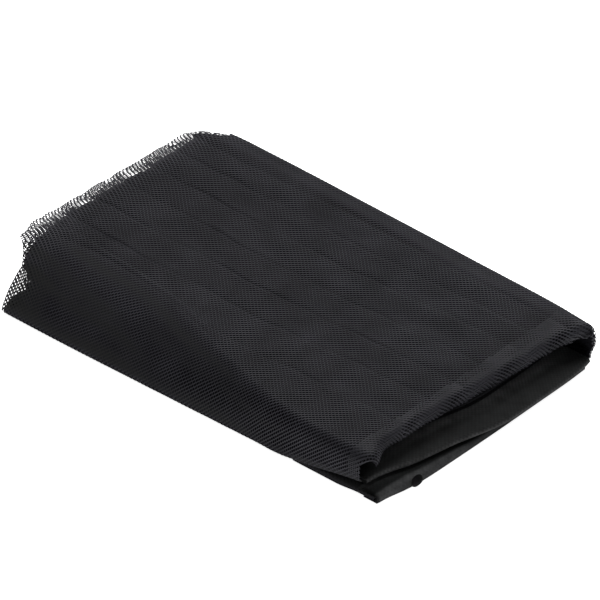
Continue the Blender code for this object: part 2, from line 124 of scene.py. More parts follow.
# Room between the inner folds and the plies round them
ROOM_UNDER_TOP = 0.0014
ROOM_AT_SIDE = 0.0040
ROOM_AT_WALL = 0.0030
ROOM_AT_LEVEL = 0.0010

# Points on each kind of run
FLAT_STEPS, TOP_STEPS, INNER_STEPS, WALL_STEPS, HEEL_RUN_STEPS = 40, 170, 24, 14, 4
TURN_STEPS, HEEL_STEPS, FOOT_STEPS, OVER_STEPS = 8, 10, 6, 6

# Creases in the top: y at the left, in the middle, at the open end; depth at the left and at the
# open end; depth of the sharp line at its left and at its open end
CREASE_ROWS = (
    (-0.0380, -0.0520, -0.0460, 0.0002, 0.0007, 0.0002, 0.0005),
    (-0.0290, -0.0285, -0.0210, 0.0009, 0.0010, 0.0009, 0.0005),
    (-0.0090, -0.0080, -0.0020, 0.0008, 0.0010, 0.0008, 0.0007),
    (0.0120, 0.0120, 0.0180, 0.0007, 0.0009, 0.0009, 0.0004),
    (0.0320, 0.0330, 0.0395, 0.0009, 0.0006, 0.0008, 0.0004),
    (0.0510, 0.0520, 0.0550, 0.0008, 0.0006, 0.0006, 0.0003),
    (0.0660, 0.0690, 0.0700, 0.0006, 0.0005, 0.0004, 0.0002),
)
CREASE_X = (-0.1130, -0.0130, 0.0970)
CREASE_SPACING = 0.0040
PUFF_HEIGHT = 0.0005

# The sharp line in a crease: width, share of its depth, how the depth swings about a mean, and
# how the line wanders. A wave is a size, and radians a metre by x and by y
LINE_WIDTH = 0.0009
LINE_SHARE = 0.55
LINE_MEAN = 0.75
LINE_SWING = (0.45, 61, 400)
LINE_WANDER = ((0.0006, 95, 700), (0.0004, 231, 300))

# The open end, by y: roll of the top, end of the mouth's floor, end of the slab below it
MOUTH_COLUMNS = ("roll_x", "rim_x", "slab_x")
MOUTH_ROWS = (
    (-0.0810, 0.1145, 0.1174, 0.1266),
    (-0.0730, 0.1155, 0.1172, 0.1272),
    (-0.0620, 0.1104, 0.1192, 0.1292),
    (-0.0500, 0.1098, 0.1228, 0.1303),
    (-0.0220, 0.1106, 0.1274, 0.1302),
    (0.0060, 0.1130, 0.1334, 0.1297),
    (0.0350, 0.1153, 0.1336, 0.1288),
    (0.0600, 0.1168, 0.1324, 0.1280),
    (0.0730, 0.1198, 0.1306, 0.1271),
    (0.0840, 0.1250, 0.1274, 0.1263),
)
OPEN_END_X = 0.115
ROLL_RADIUS = 0.0042
SIDE_ROLL_RADIUS = 0.0010
LEAST_ROLL_RADIUS = 0.0002
ROLL_ANGLE = math.radians(150)
WALL_END_X = 0.1292
HEEL_DRAW_IN = 0.0048
HEEL_DRAW_START = 0.45

# Shares of a run where it begins or ends to blend into the roll of the mouth
FOOT_BLEND_START = 0.30
SIDE_ROLL_START = 0.25
WALL_ROLL_END = 0.80

# Plies end a straight tail beyond their last flat station, just inside the tape round them
MOUTH_PLY_SETBACK = 0.0215
EDGE_TAIL = 0.0130
EDGE_GAP = TAPE + 0.0012

# The left end
SLAB_LEFT_X = -0.1235
ENVELOPE_LEFT_X = -0.1225
HEM_LEFT_X = -0.1230
RIDGE_LEFT_X = -0.1350
BACK_LEFT_X = -0.1170
SCALLOP_DEPTH = 0.0006
LEFT_DROOP = 0.0022
LEFT_DROOP_LENGTH = 0.0140
LEFT_BACK_INSET = 0.0040
LEFT_RIDGE_SHARE = 0.1
LEFT_CORNER_SHARE = 0.955
LEFT_LEAN_START = 0.44
LEFT_LEAN_LENGTH = 0.42
LEFT_LEAN_POWER = 1.1

# Inner plies: share of the height, left end, right end
INNER_ROWS = (
    (0.19, -0.1190, 0.0990),
    (0.38, -0.1160, 0.0930),
    (0.58, -0.1200, 0.0900),
    (0.79, -0.1170, 0.0960),
)

# Net: cell pitch across and along, the straight strand's length, the lattice's angle and spare
# margin, and the widths of the straight, the rising and the falling strand, inside and near the
# left edge
CELL_ACROSS = 0.00228
CELL_ALONG = 0.00125
STRAND_STRAIGHT = 0.00042
LATTICE_ANGLE = math.radians(90)
LATTICE_MARGIN = 0.005
STRAND_WIDTH = (0.00036, 0.00062, 0.00024)
EDGE_STRAND_WIDTH = (0.00070, 0.00064, 0.00062)
EDGE_ZONE = (0.0080, 0.0200)

# Slow drift of the net, and of a strip's left edge: lengths of its waves and its size
WAVER_LENGTHS = (0.034, 0.029)
WAVER_SIZE = 0.0004
STRIP_WAVER_LENGTH = 0.009
STRIP_WAVER_SIZE = 0.0006

# The net's left edge turns under by a fold and runs back. Strips of net lie below it, and
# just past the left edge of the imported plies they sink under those
FOLD_RADIUS = 0.0004
FOLD_RETURN = 0.0048
STRIP_TAIL = 0.0100
STRIP_SINKS = (0.0005, 0.0035)
SINK_UNDER_PLIES = 1.5

# Each net: sink from the outer face at 0 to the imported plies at 1, how far its lattice is turned,
# its reach along X, and its fold, its strip's start and its drift's seed where it has them
NET_LEFT = LEFT_REACH - FOLD_RETURN - 0.0020
STRIP_RIGHT = -0.090
NET_RIGHT = 0.150
LIP_LEFT = 0.106
NETS = {
    "net_outer": dict(sink=0.0, turned=0.0, reach=(NET_LEFT, NET_RIGHT), fold=FOLD_RADIUS),
    "net_under": dict(sink=0.3, turned=0.055, reach=(NET_LEFT, STRIP_RIGHT), strip=0.38, seed=2.0),
    "net_third": dict(sink=0.6, turned=-0.090, reach=(NET_LEFT, STRIP_RIGHT), strip=0.50, seed=4.0),
    "net_lip": dict(sink=0.4, turned=0.070, reach=(LIP_LEFT, NET_RIGHT), seed=6.0),
}

# Levels counted inwards from the middle of the packet's outer ply
NET_LEVEL = -0.0005
LEVEL_BEHIND_NET = 0.0008
LEVEL_AT_FOLDS = -0.0001

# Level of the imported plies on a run: at its start, at its end, and the shares of the run
# between which it changes. It is 0 on the other runs
CORE_LEVELS = {
    "foot": (0.0, LEVEL_AT_FOLDS, 0.0, 0.5),
    "side": (LEVEL_AT_FOLDS, LEVEL_BEHIND_NET, 0.0, 0.22),
    "top": (LEVEL_BEHIND_NET, LEVEL_AT_FOLDS, 0.975, 1.0),
    "wall": (LEVEL_AT_FOLDS, LEVEL_AT_FOLDS, 0.0, 1.0),
    "heel": (LEVEL_AT_FOLDS, 0.0, 0.0, 1.0),
}

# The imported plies: thickness, how far they stop short of the net at the open end, and columns up
# to the share of their length where they begin to stand closer, and from there on
CORE_SHEET = 0.0005
CORE_SHORT_OF_NET = 0.0030
CORE_COLUMNS = 56
CORE_END_COLUMNS = 30
CORE_END_SHARE = 0.88

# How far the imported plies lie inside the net's left edge, by share of each run
PLY_INSETS = {
    "side": ((0.0, 0.0012), (0.04, 0.0020), (0.10, 0.0070), (0.30, 0.0105), (0.38, 0.0065),
             (0.45, 0.0004), (0.56, 0.0006), (0.68, 0.0036), (0.84, 0.0076), (1.0, 0.0094)),
    "top": ((0.0, 0.0094), (0.10, 0.0100), (0.22, 0.0074), (0.35, 0.0088), (0.5, 0.0075),
            (0.62, 0.0094), (0.75, 0.0078), (0.92, 0.0076), (0.97, 0.0030), (1.0, 0.0020)),
    "wall": ((0.0, 0.0020), (0.5, 0.0006), (1.0, 0.0)),
    "foot": ((0.0, 0.0), (1.0, 0.0012)),
}

# How closely the plies under the outer net lie together: everywhere, with the radians a metre
# by x and by y and the start of its two waves, the share of that on the top, on the front side,
# more on the side from one x to another, and the shares of the top where the back begins
PRESS_DRIFT = 0.22
PRESS_WAVES = ((37, 61, 0), (83, -29, 1.7))
PRESS_TOP_SHARE = 0.4
PRESS_ON_SIDE = 0.12
PRESS_ALONG_SIDE = ((0.30, 0.040, -0.120), (0.25, 0.060, 0.105))
PRESS_BACK_SHARES = (0.93, 0.97)

# Painted light along the fold edge at the foot of the front side, near the open end: strength, x,
# shares of the side
FOOT_EDGE_PAINTED_LIGHT = 2.0
FOOT_EDGE_LIGHT_ZONE = (0.050, 0.085)
FOOT_EDGE_LIGHT_SHARES = (0.04, 0.09)

# Band of pressed plies behind each crease: its place, half width, strength, and a wave in that
BAND_SETBACK = 0.0035
BAND_WIDTH = 0.0042
BAND_STRENGTH = 0.12
BAND_SWING = (0.32, 55, 900)

# Painted light on the plies seen at the open end, which lie in shadow there, by share of each run
MOUTH_PAINTED_LIGHT = {
    "slab": ((0.0, 1.0), (0.3, 0.15)),
    "slab_turn": ((0.0, 0.4, 0.6, 1.0), (0.0, 0.35, 1.4, 2.0)),
    "second": ((0.0, 1.0), (2.0, 2.0)),
    "floor": ((0.0, 1.0), (1.6, 1.6)),
    "inner0": ((0.0, 1.0), (1.4, 1.4)),
}

# Smooth bands of the front side where plies lie pressed together under the net: x and share of
# the height at each end, half width as a share of the height, strength. They wander by a wave,
# and begin and stop softly at these shares of their length
SIDE_BANDS = (
    (-0.126, 0.06, 0.060, 0.02, 0.10, 1.0),
    (-0.122, 0.44, -0.030, 0.22, 0.07, 0.8),
    (-0.110, 0.86, 0.030, 0.62, 0.09, 0.8),
    (-0.040, 0.50, 0.070, 0.36, 0.06, 0.4),
    (-0.134, 0.66, -0.055, 0.40, 0.07, 0.8),
    (-0.128, 0.28, -0.100, 0.24, 0.16, 0.7),
)
SIDE_BAND_WAVE = (0.03, 90, 0)
SIDE_BAND_START = (-0.1, 0.08)
SIDE_BAND_STOP = (0.85, 1.1)

# Binding tapes: how far they run in over and under the edge that they wrap, and from which y
RIM_TAPE_UPPER = 0.0185
RIM_TAPE_LOWER = 0.0080
RIM_TAPE_FRONT_Y = -0.0770
SLAB_TAPE_UPPER = 0.0110
SLAB_TAPE_LOWER = 0.0085
SLAB_TAPE_TOP_RADIUS = 0.0014
SLAB_TAPE_LOW_RADIUS = 0.0006
TAPE_BACK_Y = 0.0745
TAPE_STATIONS = 90

# A tape's front end, turned in: its depth, how far its legs have closed at two stations, the
# cloth turned in by then, and its flat length as a multiple of its depth
TAPE_END = 0.0006
TAPE_END_CLOSING = (0.35, 0.97)
TAPE_END_CLOTH = 0.0030
TAPE_END_FLAT = 3
TAPE_EDGE_ROUNDING = 0.00022

# The tape's free end, folded back on itself
TAB_Y = -0.0562
TAB_WIDTH = 0.0062
TAB_HEIGHT = 0.0074
TAB_REACH = 0.0020
TAB_END_ROUNDING = 0.80
TAB_STATIONS = 16
TAB_STEPS = 15

# Painted light and shade on each tape by distance from its inner edge, and its strength by y
RIM_PAINTED_ACROSS = ((0.0, 0.85), (0.0040, 0.60), (0.0085, 0.22), (0.0140, 0.14), (0.0172, 0.15),
              (0.0190, 0.17), (0.0197, 0.42), (0.0203, 0.68), (0.0209, 0.74), (0.0214, 0.06),
              (0.0225, 0.04))
# Painted highlight along the rim tape's folded edge: its place from the inner edge, and its strength
# by y
RIM_EDGE_HIGHLIGHT = (0.0187, 0.0194)
RIM_EDGE_HIGHLIGHT_ALONG = ((-0.0770, 1.7), (-0.0550, 1.35), (-0.0300, 1.0), (0.0745, 0.9))
SLAB_PAINTED_ACROSS = ((0.0, 0.90), (0.0030, 0.80), (0.0052, 0.42), (0.0080, 0.20), (0.0108, 0.13),
               (0.0118, 0.14), (0.0130, 0.60), (0.0150, 0.80), (0.0160, 0.84), (0.0196, 0.80),
               (0.0215, 0.40))
# How far the slab tape's painted lit border widens towards the front corner, by y
SLAB_LIT_BORDER_WIDENING = ((-0.0800, 0.0018), (-0.0740, 0.0022), (-0.0670, 0.0036), (-0.0570, 0.0046),
                 (-0.0475, 0.0034), (-0.0380, 0.0025), (-0.0266, 0.0012), (-0.0100, 0.0))
SLAB_ALONG = ((-0.0830, 0.30), (-0.0799, 0.30), (-0.0792, 1.00), (-0.0200, 0.88),
              (0.0100, 0.62), (0.0745, 0.70))
# Painted shade on the tab: its lightness at the front and at the back
TAB_PAINTED_SHADE = (0.26, 0.0)

# The rim's tape in the shade of the roll at its front end: y, distance from its inner edge
RIM_HOLE_END = (-0.0690, -0.0655)
RIM_HOLE_EDGE = (0.0150, 0.0172)
RIM_HOLE_SHADE = 0.6

# Colours
NET_DARK = (0.0136, 0.0134, 0.0166)
NET_LIGHT = (0.0258, 0.0255, 0.0308)
NET_IN_BAND = (0.0128, 0.0132, 0.0130)
# Plies: the ends of their lattice, in painted shadow that is darkest between the strands
PLY_DARK = (0.0004, 0.0004, 0.0005)
PLY_LIGHT = (0.0022, 0.0022, 0.0028)
# Colour of plies pressed together, also used as painted light on plies in shadow, and the brightest
# painted light
PLY_PRESSED_AND_PAINTED_LIGHT = (0.0135, 0.0133, 0.0160)
PLY_PAINTED_LIGHT = (0.0250, 0.0250, 0.0260)
# Tapes and tab: the ends of their painted light and shade
TAPE_DARK = (0.0010, 0.0013, 0.0012)
TAPE_LIGHT = (0.0420, 0.0423, 0.0432)
TAB_LIGHT = (0.0170, 0.0140, 0.0175)

# The tape's weave: pitch of its warp and weft, and how uneven its black is
WARP_PITCH = 0.00050
WEFT_PITCH = 0.00042
TAPE_UNEVEN = 0.34

# Camera: the photograph's viewing angle, and the view's middle from that of these tables
VIEW_AZIMUTH = math.radians(42.0448)
VIEW_ELEVATION = math.radians(34.9993)
VIEW_SHIFT_RIGHT = 0.0019
VIEW_SHIFT_UP = 0.0180
VIEW_DISTANCE = 7.513

# Studio: place, size and power of each light, the even white light, and the pale floor
KEY_LIGHT = ((-0.5, 1.3, 2.2), 1.6, 90.0)
END_FILL = ((2.0, -0.6, 1.0), 1.4, 2.0)
WORLD_STRENGTH = 0.42
FLOOR_REACH = 30.0
FLOOR_DROP = 0.0001
FLOOR_WHITE = (0.86, 0.90)
FLOOR_GLOW = 0.88


def smooth(value, low, high):
    """Rise from 0 to 1 between low and high, level at both ends."""
    t = np.clip((value - low) / (high - low), 0.0, 1.0)
    return t * t * (3 - 2 * t)


def mix(a, b, t):
    return a + (b - a) * t


def wave(size, by_x, by_y, x, y):
    """A plain wave of this size across x and y."""
    return size * np.sin(x * by_x + y * by_y)


def row_value(rows, columns, name, at):
    """Read a named column at a place between two rows, on a curve through the rows."""
    column = columns.index(name) + 1
    last = len(rows) - 1
    k = 0
    while k < last - 1 and rows[k + 1][0] < at:
        k += 1
    near = [rows[min(max(k + step, 0), last)] for step in (-1, 0, 1, 2)]
    t = min(max((at - near[1][0]) / (near[2][0] - near[1][0]), 0.0), 1.0)
    span = near[2][0] - near[1][0]
    slope_in = (near[2][column] - near[0][column]) / (near[2][0] - near[0][0]) * span
    slope_out = (near[3][column] - near[1][column]) / (near[3][0] - near[1][0]) * span
    return (near[1][column] * (2 * t**3 - 3 * t**2 + 1) + slope_in * (t**3 - 2 * t**2 + t)
            + near[2][column] * (3 * t**2 - 2 * t**3) + slope_out * (t**3 - t**2))


def mouth(name, y):
    """Where a ply ends or begins to roll at the open end, at this y."""
    return row_value(MOUTH_ROWS, MOUTH_COLUMNS, name, y)


def bezier(points, count):
    a, b, c, d = (np.array(p) for p in points)
    t = np.arange(1, count + 1)[:, None] / count
    s = 1 - t
    return a * s**3 + 3 * b * s * s * t + 3 * c * s * t * t + d * t**3


def arc(centre, radius, start, stop, count, first=1):
    """Points along an arc, angles in degrees from +Y towards +Z."""
    a = np.radians(mix(start, stop, np.arange(first, count + 1) / count))
    return np.stack([centre[0] + radius * np.cos(a), centre[1] + radius * np.sin(a)], 1)


def split(place, count):
    """Whole part of a place on an axis of count points, and the rest."""
    place = np.clip(place, 0, count - 1.001)
    return place.astype(int), place - place.astype(int)


def between(grid, i, a, j, b):
    """Values of a grid at the shares a and b of the way from i to i + 1 and from j to j + 1."""
    return ((grid[i, j] * (1 - b) + grid[i, j + 1] * b) * (1 - a)
            + (grid[i + 1, j] * (1 - b) + grid[i + 1, j + 1] * b) * a)


def straight(y_from, y_to, level, count=FLAT_STEPS, first=1):
    """Points from one y to another, at the height that level gives at each y."""
    y = mix(y_from, y_to, np.arange(first, count + 1) / count)
    return np.stack([y, np.array([level(v) for v in y])], 1)


def floor_ply_level(x):
    return mix(FLOOR_LEVEL, FLOOR_LEVEL_AT_TAPE, smooth(x, *FLOOR_RAISE))


def envelope_level(x, y):
    """Mid-sheet height of the mouth's floor, which rises towards the front corner."""
    level = mix(THIRD_LEVEL, THIRD_LEVEL_AT_TAPE, smooth(x, *TAPE_ZONE))
    towards_end = smooth(x, CORNER_LIFT_START, TAPE_ZONE[1])
    towards_front = 1 - smooth(y, FRONT_CORNER_Y, FRONT_CORNER_Y + CORNER_LIFT_WIDTH)
    return level + CORNER_LIFT * towards_end * towards_front


def crease_place(row, x):
    """The y of a crease at x, easing between its three named places."""
    left = mix(row[0], row[1], smooth(x, CREASE_X[0], CREASE_X[1]))
    return left + (row[2] - row[1]) * smooth(x, CREASE_X[1], CREASE_X[2])


def top_points(x, start, end):
    """The creased top ply, finely stepped from the ridge to the back."""
    towards_end = smooth(x, CREASE_X[0], CREASE_X[2])
    knots, depths = [start[0]], [0.0]
    for row in CREASE_ROWS:
        knots.append(max(crease_place(row, x), knots[-1] + CREASE_SPACING))
        depths.append(mix(row[3], row[4], towards_end))
    knots.append(end[0])
    depths.append(0.0)
    y = mix(start[0], end[0], np.arange(1, TOP_STEPS + 1) / TOP_STEPS)
    z = mix(start[1], end[1], (y - start[0]) / (end[0] - start[0]))
    z = z - np.interp(y, knots, depths)
    panel = np.clip(np.searchsorted(knots, y, "right") - 1, 0, len(knots) - 2)
    knots = np.array(knots)
    share = np.clip((y - knots[panel]) / (knots[panel + 1] - knots[panel]), 0, 1)
    z = z + PUFF_HEIGHT * np.sin(math.pi * share)
    for row, place in zip(CREASE_ROWS, knots[1:-1]):
        wander = sum(wave(*one, x, place) for one in LINE_WANDER)
        line = mix(row[5], row[6], towards_end) * (LINE_MEAN + wave(*LINE_SWING, x, place))
        z = z - LINE_SHARE * line * np.exp(-((y - place - wander) / LINE_WIDTH) ** 2)
    return np.stack([y, z], 1)


class Section:
    """The whole folded section at x, as runs of mid-sheet points (y, z) named by ply."""

    def __init__(self, x):
        self.x = x
        (self.hem_y, self.hem_z, self.ridge_y, self.ridge_z, self.back_y, self.back_z,
         self.tuck) = (row_value(SECTION_ROWS, SECTION_COLUMNS, name, x)
                       for name in SECTION_COLUMNS)
        self.slab_back = self.back_y - SLAB_BACK_INSET
        self.wall_y = self.back_y - HALF_SHEET
        tucked_level = mix(envelope_level(x, self.hem_y), 0.0, self.tuck)
        self.foot = (self.hem_y + HALF_SHEET + FOOT_RADIUS,
                     max(self.hem_z + HALF_SHEET, tucked_level) + FOOT_RADIUS)
        self.ridge = (self.ridge_y + RIDGE_ROUND_BACK, self.ridge_z - HALF_SHEET)
        self.top_end = (self.wall_y - BACK_RADIUS, self.back_z - HALF_SHEET)
        self.over = (self.wall_y - 2 * HEEL_RADIUS - OVER_RADIUS,
                     envelope_level(x, self.back_y) + INNER_STEP - OVER_RADIUS)

    def runs(self):
        return self.slab() + self.floor() + self.front() + self.back() + self.inner()

    def slab(self):
        """The two lowest plies, and the fold from them up to the mouth's floor."""
        low = floor_ply_level(self.x)
        front = mix(self.hem_y + SLAB_TUCK, FRONT_CORNER_Y + SLAB_FRONT_INSET,
                    smooth(self.x, *REACH_OUT))
        turn = (SECOND_LEVEL - low) / 2
        rise = (envelope_level(self.x, self.slab_back) - SECOND_LEVEL) / 2
        return [
            ("slab", straight(self.slab_back, front, lambda y: low, first=0)),
            ("slab_turn", arc((front, low + turn), turn, 270, 90, TURN_STEPS)),
            ("second", straight(front, self.slab_back, lambda y: SECOND_LEVEL)),
            ("back_fold", arc((self.slab_back, SECOND_LEVEL + rise), rise, -90, 90, TURN_STEPS)),
        ]

    def floor(self):
        """The mouth's floor, and the foot of the front fold that it runs into."""
        start_angle = mix(-90.0, 0.0, self.tuck)
        first = arc(self.foot, FOOT_RADIUS, start_angle, start_angle, 1)[0]
        gate_y = self.hem_y + mix(FOOT_GATE, FOOT_GATE_TUCKED, self.tuck)
        gate = (gate_y, envelope_level(self.x, gate_y))
        down = math.radians(90 * self.tuck)
        leave = (gate[0] - FOOT_PULL, gate[1])
        arrive = (first[0] + math.cos(down) * FOOT_PULL, first[1] + math.sin(down) * FOOT_PULL)
        return [
            ("floor", straight(self.slab_back, gate_y, lambda y: envelope_level(self.x, y))),
            ("foot", np.concatenate([bezier((gate, leave, arrive, first), FOOT_STEPS),
                                     arc(self.foot, FOOT_RADIUS, start_angle, -180, TURN_STEPS)])),
        ]

    def front(self):
        """The front side up to the ridge, and the creased top."""
        low_end = (self.hem_y + HALF_SHEET, self.foot[1])
        above = (self.ridge_y - RIDGE_ROUND_FRONT, self.ridge[1])
        swell = (mix(low_end[0], above[0], SIDE_SWELL_Y), mix(low_end[1], above[1], SIDE_SWELL_Z))
        return [
            ("side", bezier((low_end, swell, above, self.ridge), FLAT_STEPS)),
            ("top", top_points(self.x, self.ridge, self.top_end)),
        ]

    def back(self):
        """The back wall down past the slab, and up again behind it."""
        centre = (self.top_end[0], self.top_end[1] - BACK_RADIUS)
        steps = np.arange(1, WALL_STEPS + 1) / WALL_STEPS
        drop = [(self.wall_y, mix(centre[1], HEEL_LEVEL, t)) for t in steps]
        rise_y = self.wall_y - 2 * HEEL_RADIUS
        rise = [(rise_y, mix(HEEL_LEVEL, self.over[1], t)) for t in (0.33, 0.67, 1.0)]
        heel = (self.wall_y - HEEL_RADIUS, HEEL_LEVEL)
        return [
            ("wall", np.concatenate([arc(centre, BACK_RADIUS, 90, 0, TURN_STEPS), drop])),
            ("heel", arc(heel, HEEL_RADIUS, 0, -180, HEEL_STEPS)),
            ("rise", np.concatenate([rise, arc(self.over, OVER_RADIUS, 0, 90, OVER_STEPS)])),
        ]

    def inner_level(self, share):
        """Height by y of an inner ply, at a share of the room up to the top."""
        def level(y):
            back = (y - self.ridge[0]) / (self.top_end[0] - self.ridge[0])
            under_top = mix(self.ridge[1], self.top_end[1], back) - ROOM_UNDER_TOP
            return mix(envelope_level(self.x, y) + INNER_STEP, under_top, share)
        return level

    def side_y(self, z):
        """How far forward the front side lets a fold at this height reach."""
        height = (z - self.hem_z) / (self.ridge_z - self.hem_z)
        return self.hem_y + (self.ridge_y - self.hem_y) * min(max(height, 0.0), 1.0) ** SIDE_LEAN

    def inner(self):
        """The plies from over the mouth's floor up to just under the top."""
        levels = [self.inner_level(share) for share in (0.0, *(row[0] for row in INNER_ROWS))]
        y_now = self.over[0] - HEEL_RUN
        runs = [("heel_run", straight(self.over[0], y_now, levels[0], HEEL_RUN_STEPS))]
        for k, level in enumerate(levels):
            forward, is_last = k % 2 == 0, k + 1 == len(levels)
            above = level if is_last else levels[k + 1]
            if forward:
                half = (above(self.hem_y) - level(self.hem_y)) / 2
                side_y = self.side_y(above(self.ridge_y) + ROOM_AT_LEVEL)
                y_next = side_y + ROOM_AT_SIDE + half + HALF_SHEET
            else:
                half = (above(self.back_y) - level(self.back_y)) / 2
                y_next = self.wall_y - ROOM_AT_WALL - half - HALF_SHEET
            runs.append(("inner%d" % k, straight(y_now, y_next, level, INNER_STEPS)))
            if not is_last:
                half = (above(y_next) - level(y_next)) / 2
                ends = (270, 90) if forward else (-90, 90)
                turn = arc((y_next, level(y_next) + half), half, *ends, TURN_STEPS)
                runs.append(("turn%d" % k, turn))
            y_now = y_next
        return runs


def left_x(ply, share):
    """Where a ply begins at the left end."""
    if ply in ("slab", "slab_turn", "second", "back_fold"):
        return SLAB_LEFT_X
    if ply == "floor":
        return mix(SLAB_LEFT_X, ENVELOPE_LEFT_X, share)
    if ply == "foot":
        return mix(ENVELOPE_LEFT_X, HEM_LEFT_X, share)
    if ply == "side":
        lean = min(max((share - LEFT_LEAN_START) / LEFT_LEAN_LENGTH, 0.0), 1.0)
        return mix(HEM_LEFT_X, RIDGE_LEFT_X, lean**LEFT_LEAN_POWER)
    if ply == "top":
        scallops = SCALLOP_DEPTH * abs(math.sin(math.pi * share * (len(CREASE_ROWS) + 1)))
        corner = smooth(share, LEFT_CORNER_SHARE, 1.0)
        from_ridge = smooth(share, 0.0, LEFT_RIDGE_SHARE)
        ridge_side = mix(RIDGE_LEFT_X, LEFT_REACH + SCALLOP_DEPTH, from_ridge)
        inset = mix(ridge_side, LEFT_REACH + LEFT_BACK_INSET, share)
        return mix(inset - scallops, BACK_LEFT_X, corner)
    if ply in ("wall", "heel", "rise", "heel_run"):
        return BACK_LEFT_X
    k = int(ply[-1])
    ends = (BACK_LEFT_X, *(row[1] for row in INNER_ROWS))
    return mix(ends[k], ends[k + 1], share) if ply.startswith("turn") else ends[k]


def right_end(ply, share, y):
    """Flat end, straight tail and roll radius of a ply at the open end."""
    roll = mouth("roll_x", y)
    if ply in ("slab", "slab_turn", "second", "back_fold"):
        return mouth("slab_x", y) - EDGE_GAP - EDGE_TAIL, EDGE_TAIL, 0.0
    if ply == "floor":
        return mouth("rim_x", y) - EDGE_GAP - EDGE_TAIL, EDGE_TAIL, 0.0
    if ply == "foot":
        flat = mouth("rim_x", y) - EDGE_GAP - EDGE_TAIL
        return mix(flat, roll, smooth(share, FOOT_BLEND_START, 1.0)), EDGE_TAIL * (1 - share), 0.0
    if ply == "side":
        return roll, 0.0, mix(0.0, ROLL_RADIUS, smooth(share, SIDE_ROLL_START, 1.0))
    if ply == "top":
        return roll, 0.0, ROLL_RADIUS
    wall_stop = WALL_END_X - HEEL_DRAW_IN
    if ply == "wall":
        down = smooth(share, 0.0, WALL_ROLL_END)
        stop = mix(WALL_END_X, wall_stop, smooth(share, HEEL_DRAW_START, 1.0))
        return roll, (stop - roll) * down, mix(ROLL_RADIUS, SIDE_ROLL_RADIUS, down)
    if ply == "heel":
        return roll, wall_stop - roll, SIDE_ROLL_RADIUS * (1 - share)
    if ply == "rise":
        return mix(roll, wall_stop - EDGE_TAIL, share), mix(wall_stop - roll, EDGE_TAIL, share), 0.0
    stops = [mouth("rim_x", y) - MOUTH_PLY_SETBACK, *(row[2] for row in INNER_ROWS)]
    if ply == "heel_run":
        stop = mix(wall_stop, stops[0], share)
    else:
        k = int(ply[-1])
        stop = mix(stops[k], stops[k + 1], share) if ply.startswith("turn") else stops[k]
    return stop - EDGE_TAIL, EDGE_TAIL, 0.0


def ply_inset(ply, share):
    """How far a packed ply lies inside the net's left edge."""
    shares, depths = zip(*PLY_INSETS.get(ply, ((0.0, 0.0),)))
    return float(np.interp(share, shares, depths))


def ply_level(ply, share):
    """How deep a packed ply lies below the middle of the outer ply."""
    start, end, low, high = CORE_LEVELS.get(ply, (0.0, 0.0, 0.0, 1.0))
    return mix(start, end, smooth(share, low, high))


def ply_hangs(ply, share):
    """How much of the left end's droop a ply takes."""
    return share if ply == "side" else float(ply in ("top", "wall"))


